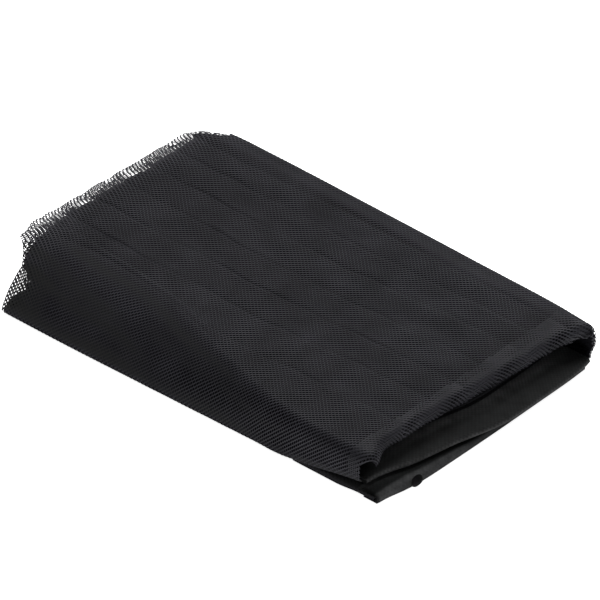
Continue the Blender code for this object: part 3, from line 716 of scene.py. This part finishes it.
class Packet:
    """The folded section at closely set stations, read anywhere between them."""

    def __init__(self):
        self.x = np.linspace(LEFT_REACH, NEAR_REACH, STATIONS)
        sections = [Section(x).runs() for x in self.x]
        self.labels = [(ply, (k + 1) / len(points)) for ply, points in sections[0]
                       for k in range(len(points))]
        self.index = np.arange(len(self.labels))
        self.share = np.array([share for _, share in self.labels])
        self.line = np.array([np.concatenate([points for _, points in runs]) for runs in sections])
        ahead = np.gradient(self.line, axis=1)
        self.ahead = ahead / np.linalg.norm(ahead, axis=2, keepdims=True)
        near_open_end = int(np.searchsorted(self.x, OPEN_END_X))
        ends = [right_end(ply, share, self.line[near_open_end, k, 0])
                for k, (ply, share) in enumerate(self.labels)]
        self.flat, self.tail, self.radius = np.array(ends).T
        self.left, self.insets, self.levels, self.hung = (
            np.array([value(*label) for label in self.labels])
            for value in (left_x, ply_inset, ply_level, ply_hangs))

    def rows(self, ply):
        """The path indices of a ply."""
        return [k for k, label in enumerate(self.labels) if label[0] == ply]

    def at(self, k, values):
        """Values along the path, read at a fractional path index."""
        return np.interp(k, self.index, values)

    def station(self, x):
        """The station before each x, and the share of the way from it to the next."""
        return split((x - self.x[0]) / (self.x[1] - self.x[0]), len(self.x))

    def read(self, x, k):
        """Place and heading (y, z) at x and at fractional path index k."""
        (i, a), (j, b) = self.station(x), split(k, len(self.labels))
        line, ahead = (between(grid, i, a[:, None], j, b[:, None])
                       for grid in (self.line, self.ahead))
        return line, ahead / np.linalg.norm(ahead, axis=1, keepdims=True)

    def bent(self, u, k, depth, fold=0.0):
        """Points at u along X, path index k and a depth below the outer face.

        Past the flat part the sheet rolls into the mouth, and past its left end it turns
        under by the fold radius and runs back. Returns the points and which of them exist.
        """
        left, flat, tail, radius, hung = (
            self.at(k, values)
            for values in (self.left, self.flat, self.tail, self.radius, self.hung))
        under = np.maximum(left - u, 0)
        back = np.maximum(under - fold * math.pi, 0)
        x = np.clip(np.maximum(u, left) + back, left, flat + tail)
        line, ahead = self.read(x, k)
        inward = np.stack([ahead[:, 1], -ahead[:, 0]], 1)
        over = np.maximum(u - flat - tail, 0)
        angle = over / np.maximum(radius, 1e-6)
        rolled = np.minimum(angle, ROLL_ANGLE)
        inner_radius = np.maximum(radius - depth, LEAST_ROLL_RADIUS)
        rolling = (over > 0) & (radius > 1e-4)
        along = np.where(rolling, inner_radius * np.sin(rolled), 0)
        sink = np.where(rolling, radius - inner_radius * np.cos(rolled), depth)
        turn = np.minimum(under / max(fold, 1e-6), math.pi)
        along = along - np.where(under > 0, fold * np.sin(turn), 0)
        sink = sink + np.where(under > 0, fold * (1 - np.cos(turn)), 0)
        exists = (angle <= ROLL_ANGLE) | (over <= 0)
        exists &= (over <= 1e-6) | rolling
        exists &= back <= (FOLD_RETURN if fold else 1e-9)
        points = np.empty((len(u), 3))
        points[:, 0] = x + along
        points[:, 1] = line[:, 0] + inward[:, 0] * sink
        points[:, 2] = line[:, 1] + inward[:, 1] * sink
        lowered = LEFT_DROOP * (1 - smooth(points[:, 0], LEFT_REACH, LEFT_REACH + LEFT_DROOP_LENGTH))
        points[:, 2] -= hung * lowered
        points[:, :2] -= BOX_MIDDLE
        return points, exists

    def lengths(self, first, last, origin):
        """Arc length along the path from an origin index, at every station."""
        steps = np.linalg.norm(np.diff(self.line[:, first:last + 1], axis=1), axis=2)
        total = np.concatenate([np.zeros((len(self.x), 1)), np.cumsum(steps, axis=1)], axis=1)
        return total - total[:, origin - first:origin - first + 1]


PACKET = Packet()


class Cover:
    """The stretch of the packet's path that the net covers, read by length from the top's end."""

    def __init__(self, steps=900):
        first, last = PACKET.rows("foot")[0], PACKET.rows("heel")[-1]
        lengths = PACKET.lengths(first, last, PACKET.rows("top")[-1])
        self.low, self.high, self.steps = lengths.min(), lengths.max(), steps
        v, k = np.linspace(self.low, self.high, steps), np.arange(first, last + 1)
        self.table = np.array([np.interp(v, row, k, left=-1, right=-1) for row in lengths])

    def index_at(self, x, v):
        """Path index at x and at length v, and whether the stretch reaches there."""
        i, a = PACKET.station(x)
        j, b = split((v - self.low) / (self.high - self.low) * (self.steps - 1), self.steps)
        near = [self.table[i + p, j + q] for p in (0, 1) for q in (0, 1)]
        return between(self.table, i, a, j, b), np.min(near, axis=0) >= 0


COVER = Cover()


class Lattice:
    """Flat nodes of a hexagonal net, two a cell: its tip, and the shoulder beside the tip."""

    def __init__(self, angle, u_range, v_range):
        self.across = np.array([math.cos(angle), math.sin(angle)])
        self.along = np.array([math.sin(angle), -math.cos(angle)])
        middle = np.array([sum(u_range) / 2, sum(v_range) / 2])
        reach = math.hypot(u_range[1] - u_range[0], v_range[1] - v_range[0]) / 2 + LATTICE_MARGIN
        rows, columns = int(reach / CELL_ALONG) + 1, int(reach / CELL_ACROSS) + 1
        self.row, column = np.meshgrid(np.arange(-rows, rows + 1),
                                       np.arange(-columns, columns + 1), indexing="ij")
        w = (column + 0.5 * (self.row % 2)) * CELL_ACROSS
        l = self.row * CELL_ALONG
        rise = CELL_ALONG - STRAND_STRAIGHT
        self.tips = self.moved(middle, w, l + STRAND_STRAIGHT / 2 + rise)
        self.shoulders = self.moved(middle, w + CELL_ACROSS / 2, l + STRAND_STRAIGHT / 2)
        self.rising = np.array([CELL_ACROSS / 2, rise]) / math.hypot(CELL_ACROSS / 2, rise)
        self.falling = self.rising * (1, -1)
        self.upright = np.array([0.0, 1.0])

    def moved(self, place, w, l):
        """A place moved by w across the lattice and l along it."""
        return place + w[..., None] * self.across + l[..., None] * self.along

    def corner(self, node, first, first_width, second, second_width):
        """Where the left side of one strand meets the right side of the next."""
        sides = np.array([[-first[1], first[0]], [second[1], -second[0]]])
        halves = np.stack([first_width, second_width], axis=-1) / 2
        w, l = np.moveaxis(halves @ np.linalg.inv(sides).T, -1, 0)
        return self.moved(node, w, l)

    def corners(self, widths_at):
        """Six corners a cell, between the strands at its tip and those at its shoulder."""
        found = []
        for node, turn in ((self.tips, -1), (self.shoulders, 1)):
            widths = widths_at(node)
            strands = (turn * self.rising, -turn * self.falling, -turn * self.upright)
            for k in range(3):
                after = (k + 1) % 3
                found.append(self.corner(node, strands[k], widths[k], strands[after],
                                         widths[after]))
        return np.stack(found, axis=2)

    def faces(self, exists):
        """Triangles at the nodes, then the strands between them, as corner numbers."""
        number = np.arange(exists.size).reshape(exists.shape)
        tip_ok, shoulder_ok = exists[..., :3].all(axis=2), exists[..., 3:].all(axis=2)
        parts = [number[..., :3][tip_ok], number[..., 3:][shoulder_ok]]

        def strand(*ends):
            """Strands whose ends are each: which nodes exist, the ones taken, two corners."""
            ok = np.logical_and(*(exist[at] for exist, at, _ in ends))
            parts.append(np.stack([number[at][..., k][ok] for _, at, pair in ends for k in pair],
                                  axis=1))

        whole, but_first, but_last = slice(None), slice(1, None), slice(None, -1)
        # Tip to the shoulder on its right, in the same cell
        strand((tip_ok, (whole, whole), (0, 1)), (shoulder_ok, (whole, whole), (3, 4)))
        # Tip to the shoulder on its left, which belongs to the next cell on the left
        strand((tip_ok, (whole, but_first), (2, 0)), (shoulder_ok, (whole, but_last), (5, 3)))
        # Shoulder down to the tip of the cell below it, by whether its row is a shifted one
        for parity, shoulders, tips in ((0, whole, whole), (1, but_last, but_first)):
            row = np.arange(1, len(number))[self.row[1:, 0] % 2 == parity]
            strand((shoulder_ok, (row, shoulders), (4, 5)), (tip_ok, (row - 1, tips), (1, 2)))
        return parts


def side_bands(x, share):
    """How far a place on the front side lies in its smooth bands."""
    found = np.zeros(np.broadcast(x, share).shape)
    for x0, share0, x1, share1, width, strength in SIDE_BANDS:
        t = (x - x0) / (x1 - x0)
        line = mix(share0, share1, np.clip(t, 0, 1)) + wave(*SIDE_BAND_WAVE, x, 0)
        fade = smooth(t, *SIDE_BAND_START) * (1 - smooth(t, *SIDE_BAND_STOP))
        found += strength * fade * np.exp(-((share - line) / width) ** 2)
    return found


def waver(u, v, length, size, seed):
    """Slow sideways drift of the lattice, as pulled cloth has."""
    a = np.sin(u / length * 1.7 + seed) * np.cos(v / length * 1.3 + seed * 2.1)
    b = np.sin((u + v) / length * 0.9 + seed * 3.7)
    return size * (0.6 * a + 0.4 * b)


def add_object(name, data):
    """A new object in the scene."""
    made = bpy.data.objects.new(name, data)
    bpy.context.scene.collection.objects.link(made)
    return made


def add_piece(name, points, faces):
    """A new mesh object in the scene."""
    mesh = bpy.data.meshes.new(name)
    mesh.from_pydata(points, [], faces)
    return add_object(name, mesh)


def set_points(piece, name, values):
    """Keep a value at every point of a piece, for its material."""
    layer = piece.data.attributes.new(name, "FLOAT", "POINT")
    layer.data.foreach_set("value", values.ravel())


def strand_widths(node):
    """Widths of the rising, the falling and the straight strand at each node."""
    u, v = node.reshape(-1, 2).T
    k, _ = COVER.index_at(np.clip(u, LEFT_REACH, OPEN_END_X), v)
    inner = smooth(u - PACKET.at(k, PACKET.left), *EDGE_ZONE).reshape(node.shape[:2])
    straight_width, rising_width, falling_width = (
        mix(a, b, inner) for a, b in zip(EDGE_STRAND_WIDTH, STRAND_WIDTH))
    return rising_width, falling_width, straight_width


def flat_area(corners, parts):
    """Area of the cloth itself, which is the strands' and not the holes'."""
    total = 0.0
    for part in parts:
        a = corners[part]
        b = np.roll(a, -1, axis=1)
        total += np.abs((a[..., 0] * b[..., 1] - a[..., 1] * b[..., 0]).sum(axis=1)).sum() / 2
    return float(total)


def flat_size(u, v, row_height=0.003):
    """Mean width of a net's rows, and its length across them."""
    rows = np.round((v - v.min()) / row_height).astype(int)
    widths = [np.ptp(u[rows == row]) for row in np.unique(rows)]
    return float(np.mean(widths)), float(np.ptp(v))


def hex_net(name, sink, turned, reach, fold=0.0, strip=None, seed=0.0):
    """A net of strands with open hexagonal holes, laid on the packet's outer plies.

    sink is 0 on the outer face and 1 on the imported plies. A strip starts at this share of the
    way from the net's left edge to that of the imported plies, and ends under those plies.
    """
    lattice = Lattice(LATTICE_ANGLE + turned, reach, (COVER.low, COVER.high))
    corners = lattice.corners(strand_widths)
    flat = corners.reshape(-1, 2)
    u = flat[:, 0] + waver(flat[:, 0], flat[:, 1], WAVER_LENGTHS[0], WAVER_SIZE, seed)
    v = flat[:, 1] + waver(flat[:, 1], flat[:, 0], WAVER_LENGTHS[1], WAVER_SIZE, seed + 1.3)
    k, inside = COVER.index_at(np.clip(u, LEFT_REACH, OPEN_END_X), v)
    start = PACKET.at(k, PACKET.left)
    x = np.clip(u, start, PACKET.at(k, PACKET.flat) + PACKET.at(k, PACKET.tail))
    k, inside_too = COVER.index_at(x, v)
    past_edge, plies_at = u - start, PACKET.at(k, PACKET.insets)
    if strip is not None:
        sink = mix(sink, SINK_UNDER_PLIES, smooth(past_edge - plies_at, *STRIP_SINKS))
    level = mix(NET_LEVEL, PACKET.at(k, PACKET.levels), sink)
    points, exists = PACKET.bent(u, k, level, fold)
    exists &= inside & inside_too & (u >= reach[0]) & (u <= reach[1])
    if strip is not None:
        ragged = waver(v, v, STRIP_WAVER_LENGTH, STRIP_WAVER_SIZE, seed + 0.7)
        exists &= past_edge >= plies_at * strip + ragged
        exists &= past_edge <= plies_at + STRIP_TAIL
    parts = lattice.faces(exists.reshape(corners.shape[:3]))
    used = np.unique(np.concatenate([part.ravel() for part in parts]))
    renumber = np.full(len(u), -1)
    renumber[used] = np.arange(len(used))
    faces = [face for part in parts for face in renumber[part[:, ::-1]].tolist()]
    piece = add_piece(name, points[used].tolist(), faces)
    piece.data.validate()
    side = PACKET.rows("side")
    side_share = np.interp(k[used], side, PACKET.share[side], left=-9, right=9)
    set_points(piece, "band", np.clip(side_bands(x[used], side_share), 0, 1))
    return piece, flat_size(u[used], v[used]), flat_area(flat, parts)


def grid_sheet(name, points, thickness, cloth):
    """A sheet from a grid of points, with its cloth coordinates kept as UVs."""
    across, along = points.shape[:2]
    number = np.arange(across * along).reshape(across, along)
    faces = np.stack([number[:-1, :-1], number[1:, :-1], number[1:, 1:], number[:-1, 1:]], axis=-1)
    piece = add_piece(name, points.reshape(-1, 3).tolist(), faces.reshape(-1, 4).tolist())
    layer = piece.data.uv_layers.new(name="cloth")
    layer.data.foreach_set("uv", cloth.reshape(-1, 2)[faces.reshape(-1)].ravel())
    for face in piece.data.polygons:
        face.use_smooth = True
    solid = piece.modifiers.new("thickness", "SOLIDIFY")
    solid.thickness = thickness
    solid.offset = 0.0
    solid.use_rim = True
    return piece


def press_and_painted_light_at(x, y):
    """How closely the plies under the outer net lie together at each point, up to 2, with painted
    light on plies in shadow at the open end and along the foot's fold edge.
    """
    share = np.broadcast_to(PACKET.share[None], x.shape)
    side, top, foot = PACKET.rows("side"), PACKET.rows("top"), PACKET.rows("foot")
    broad, fine = (np.sin(x * by_x + y * by_y + start) for by_x, by_y, start in PRESS_WAVES)
    found = PRESS_DRIFT * (0.5 + 0.5 * broad * fine)
    found[:, top] *= PRESS_TOP_SHARE
    # Painted light on the plies in shadow at the open end
    for ply, press_and_painted_light in MOUTH_PAINTED_LIGHT.items():
        rows = PACKET.rows(ply)
        found[:, rows] = np.interp(PACKET.share[rows], *press_and_painted_light)
    # Painted light along the foot's fold edge, which faces down into shadow
    foot_edge_light = FOOT_EDGE_PAINTED_LIGHT * smooth(x, *FOOT_EDGE_LIGHT_ZONE)
    found[:, foot] += foot_edge_light[:, foot]
    found[:, side] += foot_edge_light[:, side] * (1 - smooth(share[:, side], *FOOT_EDGE_LIGHT_SHARES))
    found[:, side] += PRESS_ON_SIDE + side_bands(x[:, side], share[:, side])
    for strength, start, end in PRESS_ALONG_SIDE:
        found[:, side] += strength * smooth(x[:, side], start, end)
    for row in CREASE_ROWS:
        behind = (y[:, top] - crease_place(row, x[:, top]) - BAND_SETBACK) / BAND_WIDTH
        patchy = BAND_STRENGTH + wave(*BAND_SWING, x[:, top], row[1])
        found[:, top] += patchy * np.exp(-behind ** 2)
    found[:, top] += smooth(share[:, top], *PRESS_BACK_SHARES)
    found[:, PACKET.rows("wall")] = 1.0
    return np.clip(found, 0, 2)


def folds(name):
    """The whole folded sheet, lying just inside the open net of its outer plies.

    Its columns stand closer together towards the open end, where the plies bend over.
    """
    start, stop = PACKET.left + PACKET.insets, PACKET.flat + PACKET.tail
    wall = PACKET.rows("wall")
    stop[PACKET.rows("side") + PACKET.rows("top")] -= CORE_SHORT_OF_NET
    stop[wall] -= mix(CORE_SHORT_OF_NET, 0.0, smooth(PACKET.share[wall], 0.0, 0.5))
    w = np.concatenate([np.linspace(0, CORE_END_SHARE, CORE_COLUMNS, endpoint=False),
                        np.linspace(CORE_END_SHARE, 1, CORE_END_COLUMNS)])
    u = mix(start[None], stop[None], w[:, None])
    k = np.broadcast_to(PACKET.index[None].astype(float), u.shape)
    depth = np.broadcast_to(PACKET.levels[None], u.shape)
    points, _ = PACKET.bent(u.ravel(), k.ravel(), depth.ravel())
    v = PACKET.lengths(0, len(PACKET.labels) - 1, 0).mean(axis=0)
    grid = points.reshape(*u.shape, 3)
    cloth = np.stack([u, np.broadcast_to(v[None], u.shape)], axis=-1)
    piece = grid_sheet(name, grid, CORE_SHEET, cloth)
    set_points(piece, "press_and_painted_light", press_and_painted_light_at(grid[..., 0] + BOX_MIDDLE[0], grid[..., 1] + BOX_MIDDLE[1]))
    return piece, (float(np.median(stop - start)), float(v[-1]))


def tape(name, profile, painted_tones, y_from, y_to, stations, turned_in=0.0):
    """A smooth tape of cross-section profile(y), with painted light and shade given as a function of
    (y, run).

    Where its front end is turned in, its legs close on each other just behind that end.
    """
    ys = np.linspace(y_from, y_to, stations)
    rows = [np.asarray(profile(y), float) for y in ys]
    points = np.array([[(x, y, z) for x, z in row] for y, row in zip(ys, rows)])
    run = np.concatenate([[0], np.cumsum(np.linalg.norm(np.diff(rows[0], axis=0), axis=1))])
    if turned_in:
        middle = (rows[0][:, 1].max() + rows[0][:, 1].min()) / 2
        for closed in TAPE_END_CLOSING:
            end = points[0].copy()
            end[:, 1] = y_from + turned_in * closed
            end[:, 2] = mix(rows[0][:, 1], middle, closed)
            points = np.concatenate([end[None], points])
            ys = np.concatenate([[y_from - TAPE_END_CLOTH * closed], ys])
    along = np.broadcast_to(ys[:, None], points.shape[:2])
    across = np.broadcast_to(run[None], points.shape[:2])
    points[..., :2] -= BOX_MIDDLE
    piece = grid_sheet(name, points, TAPE, np.stack([along, across], axis=-1))
    set_points(piece, "painted_tone", painted_tones(along, across))
    edge = piece.modifiers.new("soft edge", "BEVEL")
    edge.width = TAPE_EDGE_ROUNDING
    edge.segments = 2
    edge.limit_method = "ANGLE"
    return piece, (float(abs(y_to - y_from) + turned_in * TAPE_END_FLAT), float(run[-1]))


def leg(from_x, to_x, z, count, first=0):
    """A straight leg of a tape's profile."""
    return [(mix(from_x, to_x, step / count), z) for step in range(first, count + 1)]


def rim_profile(y):
    """The rim's tape round the end of the mouth's floor, from its upper leg to its lower."""
    gap = HALF_SHEET + CLEARANCE + HALF_TAPE
    centre_x = mouth("rim_x", y) - HALF_TAPE - gap
    level = envelope_level(TAPE_ZONE[1], y)
    return (leg(centre_x - RIM_TAPE_UPPER, centre_x, level + gap, 19)
            + arc((centre_x, level), gap, 90, -90, 12).tolist()
            + leg(centre_x, centre_x - RIM_TAPE_LOWER, level - gap, 5, 1))


def slab_profile(y):
    """The slab's tape round its two plies, from its upper leg to its lower."""
    low = HALF_TAPE
    high = SECOND_LEVEL + HALF_SHEET + CLEARANCE + HALF_TAPE
    end = mouth("slab_x", y) - HALF_TAPE
    top_x, low_x = end - SLAB_TAPE_TOP_RADIUS, end - SLAB_TAPE_LOW_RADIUS
    top, bottom = (top_x, high - SLAB_TAPE_TOP_RADIUS), (low_x, low + SLAB_TAPE_LOW_RADIUS)
    return (leg(top_x - SLAB_TAPE_UPPER, top_x, high, 11)
            + arc(top, SLAB_TAPE_TOP_RADIUS, 90, 0, 8).tolist()
            + arc(bottom, SLAB_TAPE_LOW_RADIUS, 0, -90, 5, 0).tolist()
            + leg(low_x, low_x - SLAB_TAPE_LOWER, low, 5, 1))


def tab_profile(y):
    """The tape's free end, a low bulge on the slab's tape that narrows to its two sides."""
    wall = mouth("slab_x", y) + CLEARANCE + HALF_TAPE
    ends = math.sqrt(1 - TAB_END_ROUNDING * (2 * (y - TAB_Y) / TAB_WIDTH) ** 2)
    middle = TAB_HEIGHT / 2
    return [(wall + TAB_REACH * ends * math.sin(math.pi * t),
             middle + (TAB_HEIGHT - TAPE) * ends * (t - 0.5)) for t in np.linspace(0, 1, TAB_STEPS)]


def rim_painted_tones(along, across):
    """Painted light and shade on the rim's tape: the painted shadow of the roll at its near end, and
    a painted highlight along its folded edge.
    """
    painted_tone = np.interp(across, *zip(*RIM_PAINTED_ACROSS))
    strength = np.interp(along, *zip(*RIM_EDGE_HIGHLIGHT_ALONG))
    painted_tone = painted_tone * mix(1.0, strength, smooth(across, *RIM_EDGE_HIGHLIGHT))
    hole = (1 - smooth(along, *RIM_HOLE_END)) * (1 - smooth(across, *RIM_HOLE_EDGE))
    return painted_tone * (1 - RIM_HOLE_SHADE * hole)


def slab_painted_tones(along, across):
    """Painted light and shade on the slab's tape, whose painted lit border is wider beside the front
    corner.
    """
    across = across + np.interp(along, *zip(*SLAB_LIT_BORDER_WIDENING))
    return np.interp(across, *zip(*SLAB_PAINTED_ACROSS)) * np.interp(along, *zip(*SLAB_ALONG))


def tab_painted_tones(along, across):
    """Painted shade on the tab, darker towards the back."""
    return mix(*TAB_PAINTED_SHADE, smooth(along, TAB_Y - TAB_WIDTH / 2, TAB_Y + TAB_WIDTH / 2))


class Nodes:
    """Short way to lay out a material's nodes."""

    def __init__(self, name):
        self.material = bpy.data.materials.new(name)
        self.material.use_nodes = True
        self.tree = self.material.node_tree
        self.shader = self.tree.nodes["Principled BSDF"]

    def give(self, node, slot, value):
        if isinstance(value, bpy.types.NodeSocket):
            self.tree.links.new(value, node.inputs[slot])
        else:
            node.inputs[slot].default_value = value

    def add(self, kind, inputs=(), **settings):
        node = self.tree.nodes.new(kind)
        for key, value in settings.items():
            setattr(node, key, value)
        for slot, value in dict(inputs).items():
            self.give(node, slot, value)
        return node.outputs

    def math(self, operation, *values):
        return self.add("ShaderNodeMath", enumerate(values), operation=operation)[0]

    def blend(self, share, first, second, how="MIX"):
        return self.add("ShaderNodeMix", {0: share, 6: first, 7: second}, data_type="RGBA",
                        blend_type=how)[2]

    def noise(self, scale, detail):
        place = self.add("ShaderNodeTexCoord")["Object"]
        return self.add("ShaderNodeTexNoise", {"Vector": place, "Scale": scale,
                                               "Detail": detail})[0]

    def cloth(self):
        """The sheet's two flat coordinates."""
        uv = self.add("ShaderNodeUVMap", uv_map="cloth")[0]
        parts = self.add("ShaderNodeSeparateXYZ", {0: uv})
        return parts[0], parts[1]

    def kept(self, name):
        """A value kept at the piece's points."""
        return self.add("ShaderNodeAttribute", attribute_name=name)["Fac"]

    def ramp(self, value, stops):
        node = self.tree.nodes.new("ShaderNodeValToRGB")
        self.tree.links.new(value, node.inputs[0])
        elements = node.color_ramp.elements
        for element, (place, colour) in zip(elements, stops):
            element.position = place
            element.color = (*colour, 1.0)
        return node.outputs[0]

    def greys(self, value, stops):
        return self.ramp(value, [(place, (grey, grey, grey)) for place, grey in stops])

    def surface(self, colour, roughness, specular):
        self.give(self.shader, "Base Color", colour)
        self.give(self.shader, "Roughness", roughness)
        self.give(self.shader, "Specular IOR Level", specular)

    def bump(self, height, strength, distance):
        normal = self.add("ShaderNodeBump", {"Strength": strength, "Distance": distance,
                                             "Height": height})[0]
        self.give(self.shader, "Normal", normal)


def yarn_material():
    """Black knitted yarn: fine filaments, a soft sheen and uneven depth of black."""
    n = Nodes("net_yarn")
    uneven = n.noise(scale=55.0, detail=3.0)
    open_net = n.ramp(uneven, ((0.3, NET_DARK), (0.7, NET_LIGHT)))
    colour = n.blend(n.kept("band"), open_net, (*NET_IN_BAND, 1.0))
    n.surface(colour, roughness=0.6, specular=0.12)
    n.bump(n.noise(scale=4200.0, detail=2.0), strength=0.5, distance=0.00008)
    return n.material


def lattice_level(n, u, v):
    """1 on the strands and 0 in the holes of the net's lattice, from cloth coordinates."""
    waves = []
    c, s = math.cos(LATTICE_ANGLE), math.sin(LATTICE_ANGLE)
    for across, along in ((1.0, 0.5), (-1.0, 0.5)):
        by_u = across * c / CELL_ACROSS + along * s / CELL_ALONG
        by_v = across * s / CELL_ACROSS - along * c / CELL_ALONG
        phase = n.math("ADD", n.math("MULTIPLY", u, 2 * math.pi * by_u),
                       n.math("MULTIPLY", v, 2 * math.pi * by_v))
        waves.append(n.math("COSINE", phase))
    return n.math("MULTIPLY_ADD", n.math("ADD", *waves), -0.25, 0.5)


def ply_material():
    """Plies packed behind the outer net: the same lattice in painted shadow, darkest between its
    strands.
    """
    n = Nodes("net_plies")
    level = lattice_level(n, *n.cloth())
    lattice = n.ramp(level, ((0.25, PLY_DARK), (0.75, PLY_LIGHT)))
    press_and_painted_light = n.kept("press_and_painted_light")
    # Pressed plies are one smooth colour; past a press of 1 it rises to painted light for plies in
    # shadow
    solid = n.ramp(n.math("MULTIPLY", press_and_painted_light, 0.5), ((0.5, PLY_PRESSED_AND_PAINTED_LIGHT), (1.0, PLY_PAINTED_LIGHT)))
    n.surface(n.blend(press_and_painted_light, lattice, solid), roughness=0.75, specular=0.0)
    n.bump(level, strength=0.6, distance=0.0004)
    return n.material


def tape_material(name, brightest, gloss, print_through=0.0):
    """Closely woven black tape of uneven black, up to its brightest colour by its painted light and
    shade.

    Where it is pressed on net, the lattice shows through by a share of that black.
    """
    n = Nodes(name)
    along, across = n.cloth()
    warp = n.math("SINE", n.math("MULTIPLY", along, 2 * math.pi / WARP_PITCH))
    weft = n.math("SINE", n.math("MULTIPLY", across, 2 * math.pi / WEFT_PITCH))
    weave = n.math("MULTIPLY_ADD", n.math("MULTIPLY", warp, weft), 0.5, 0.5)
    shade = n.math("ADD", n.math("MULTIPLY", weave, 0.30),
                   n.math("MULTIPLY", n.noise(scale=180.0, detail=3.0), 0.70))
    uneven = n.greys(shade, ((0.3, 1 - TAPE_UNEVEN), (0.7, 1 + TAPE_UNEVEN)))
    # Painted light and shade on the tape, from dark up to its brightest colour
    black = n.ramp(n.kept("painted_tone"), ((0.0, TAPE_DARK), (1.0, brightest)))
    lattice = n.greys(lattice_level(n, across, along),
                      ((0.3, 1 - print_through), (0.7, 1 + print_through)))
    mottled = n.blend(1.0, black, uneven, "MULTIPLY")
    n.surface(n.blend(1.0, mottled, lattice, "MULTIPLY"), roughness=0.62, specular=gloss)
    n.bump(weave, strength=0.5, distance=0.00010)
    return n.material


def make_camera():
    """Long lens at the photograph's viewing angle."""
    right = Vector((math.cos(VIEW_AZIMUTH), math.sin(VIEW_AZIMUTH), 0))
    back = Vector((math.sin(VIEW_AZIMUTH) * math.cos(VIEW_ELEVATION),
                   -math.cos(VIEW_AZIMUTH) * math.cos(VIEW_ELEVATION), math.sin(VIEW_ELEVATION)))
    up = back.cross(right)
    target = right * VIEW_SHIFT_RIGHT + up * VIEW_SHIFT_UP - Vector((*BOX_MIDDLE, 0))
    data = bpy.data.cameras.new("camera")
    data.lens = 900
    data.sensor_width = 36
    data.clip_start = 0.1
    camera = add_object("camera", data)
    camera.matrix_world = Matrix((
        (right.x, up.x, back.x, 0), (right.y, up.y, back.y, 0), (right.z, up.z, back.z, 0),
        (0, 0, 0, 1)))
    camera.location = target + back * VIEW_DISTANCE
    bpy.context.scene.camera = camera


def light(name, place, size, power):
    """A soft round light aimed at the origin."""
    data = bpy.data.lights.new(name, "AREA")
    data.shape = "DISK"
    data.size = size
    data.energy = power
    lamp = add_object(name, data)
    lamp.location = place
    lamp.rotation_euler = (-Vector(place)).to_track_quat("-Z", "Y").to_euler()


def make_stage():
    """White studio: even light, two soft lights and a pale floor."""
    scene = bpy.context.scene
    scene.view_settings.view_transform = "Standard"
    world = bpy.data.worlds.new("studio")
    world.use_nodes = True
    world.node_tree.nodes["Background"].inputs["Color"].default_value = (1, 1, 1, 1)
    world.node_tree.nodes["Background"].inputs["Strength"].default_value = WORLD_STRENGTH
    scene.world = world
    light("key", *KEY_LIGHT)
    light("end_fill", *END_FILL)
    far = FLOOR_REACH
    floor = add_piece("floor", [(-far, -far, 0), (far, -far, 0), (far, far, 0), (-far, far, 0)],
                      [(0, 1, 2, 3)])
    floor.location.z = -FLOOR_DROP
    n = Nodes("floor_white")
    grain = n.add("ShaderNodeTexNoise", {"Scale": 3.0})[0]
    n.surface(n.greys(grain, enumerate(FLOOR_WHITE)), roughness=0.9, specular=0.0)
    n.give(n.shader, "Emission Color", (1, 1, 1, 1))
    n.give(n.shader, "Emission Strength", FLOOR_GLOW)
    floor.data.materials.append(n.material)


def dress(piece, material, nodes):
    """Give a piece its material, hang it on the root, and hide the imported parts that it stands
    for.
    """
    piece.data.materials.append(material)
    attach(piece, "root")
    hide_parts(*nodes)


def main():
    make_camera()
    make_stage()
    yarn, plies = yarn_material(), ply_material()
    rim_weave = tape_material("rim_tape_weave", TAPE_LIGHT, gloss=0.03, print_through=0.22)
    slab_weave = tape_material("slab_tape_weave", TAPE_LIGHT, gloss=0.0, print_through=0.08)
    tab_weave = tape_material("tab_weave", TAB_LIGHT, gloss=0.02)
    core, core_size = folds("net_folds")
    dress(core, plies, ["net_cloth"])
    for name, choices in NETS.items():
        piece, size, area = hex_net(name, **choices)
        dress(piece, yarn, ["net_cloth"])
    rim, rim_size = tape("tape_rim", rim_profile, rim_painted_tones, RIM_TAPE_FRONT_Y, TAPE_BACK_Y,
                         TAPE_STATIONS, TAPE_END)
    slab, slab_size = tape("tape_slab", slab_profile, slab_painted_tones, FRONT_CORNER_Y, TAPE_BACK_Y,
                           TAPE_STATIONS, TAPE_END)
    tab, _ = tape("tape_tab", tab_profile, tab_painted_tones, TAB_Y - TAB_WIDTH / 2,
                  TAB_Y + TAB_WIDTH / 2, TAB_STATIONS)
    for piece, weave, node in ((rim, rim_weave, "rim_binding"), (slab, slab_weave, "slab_binding"),
                               (tab, tab_weave, "binding_tab")):
        dress(piece, weave, [node])


main()
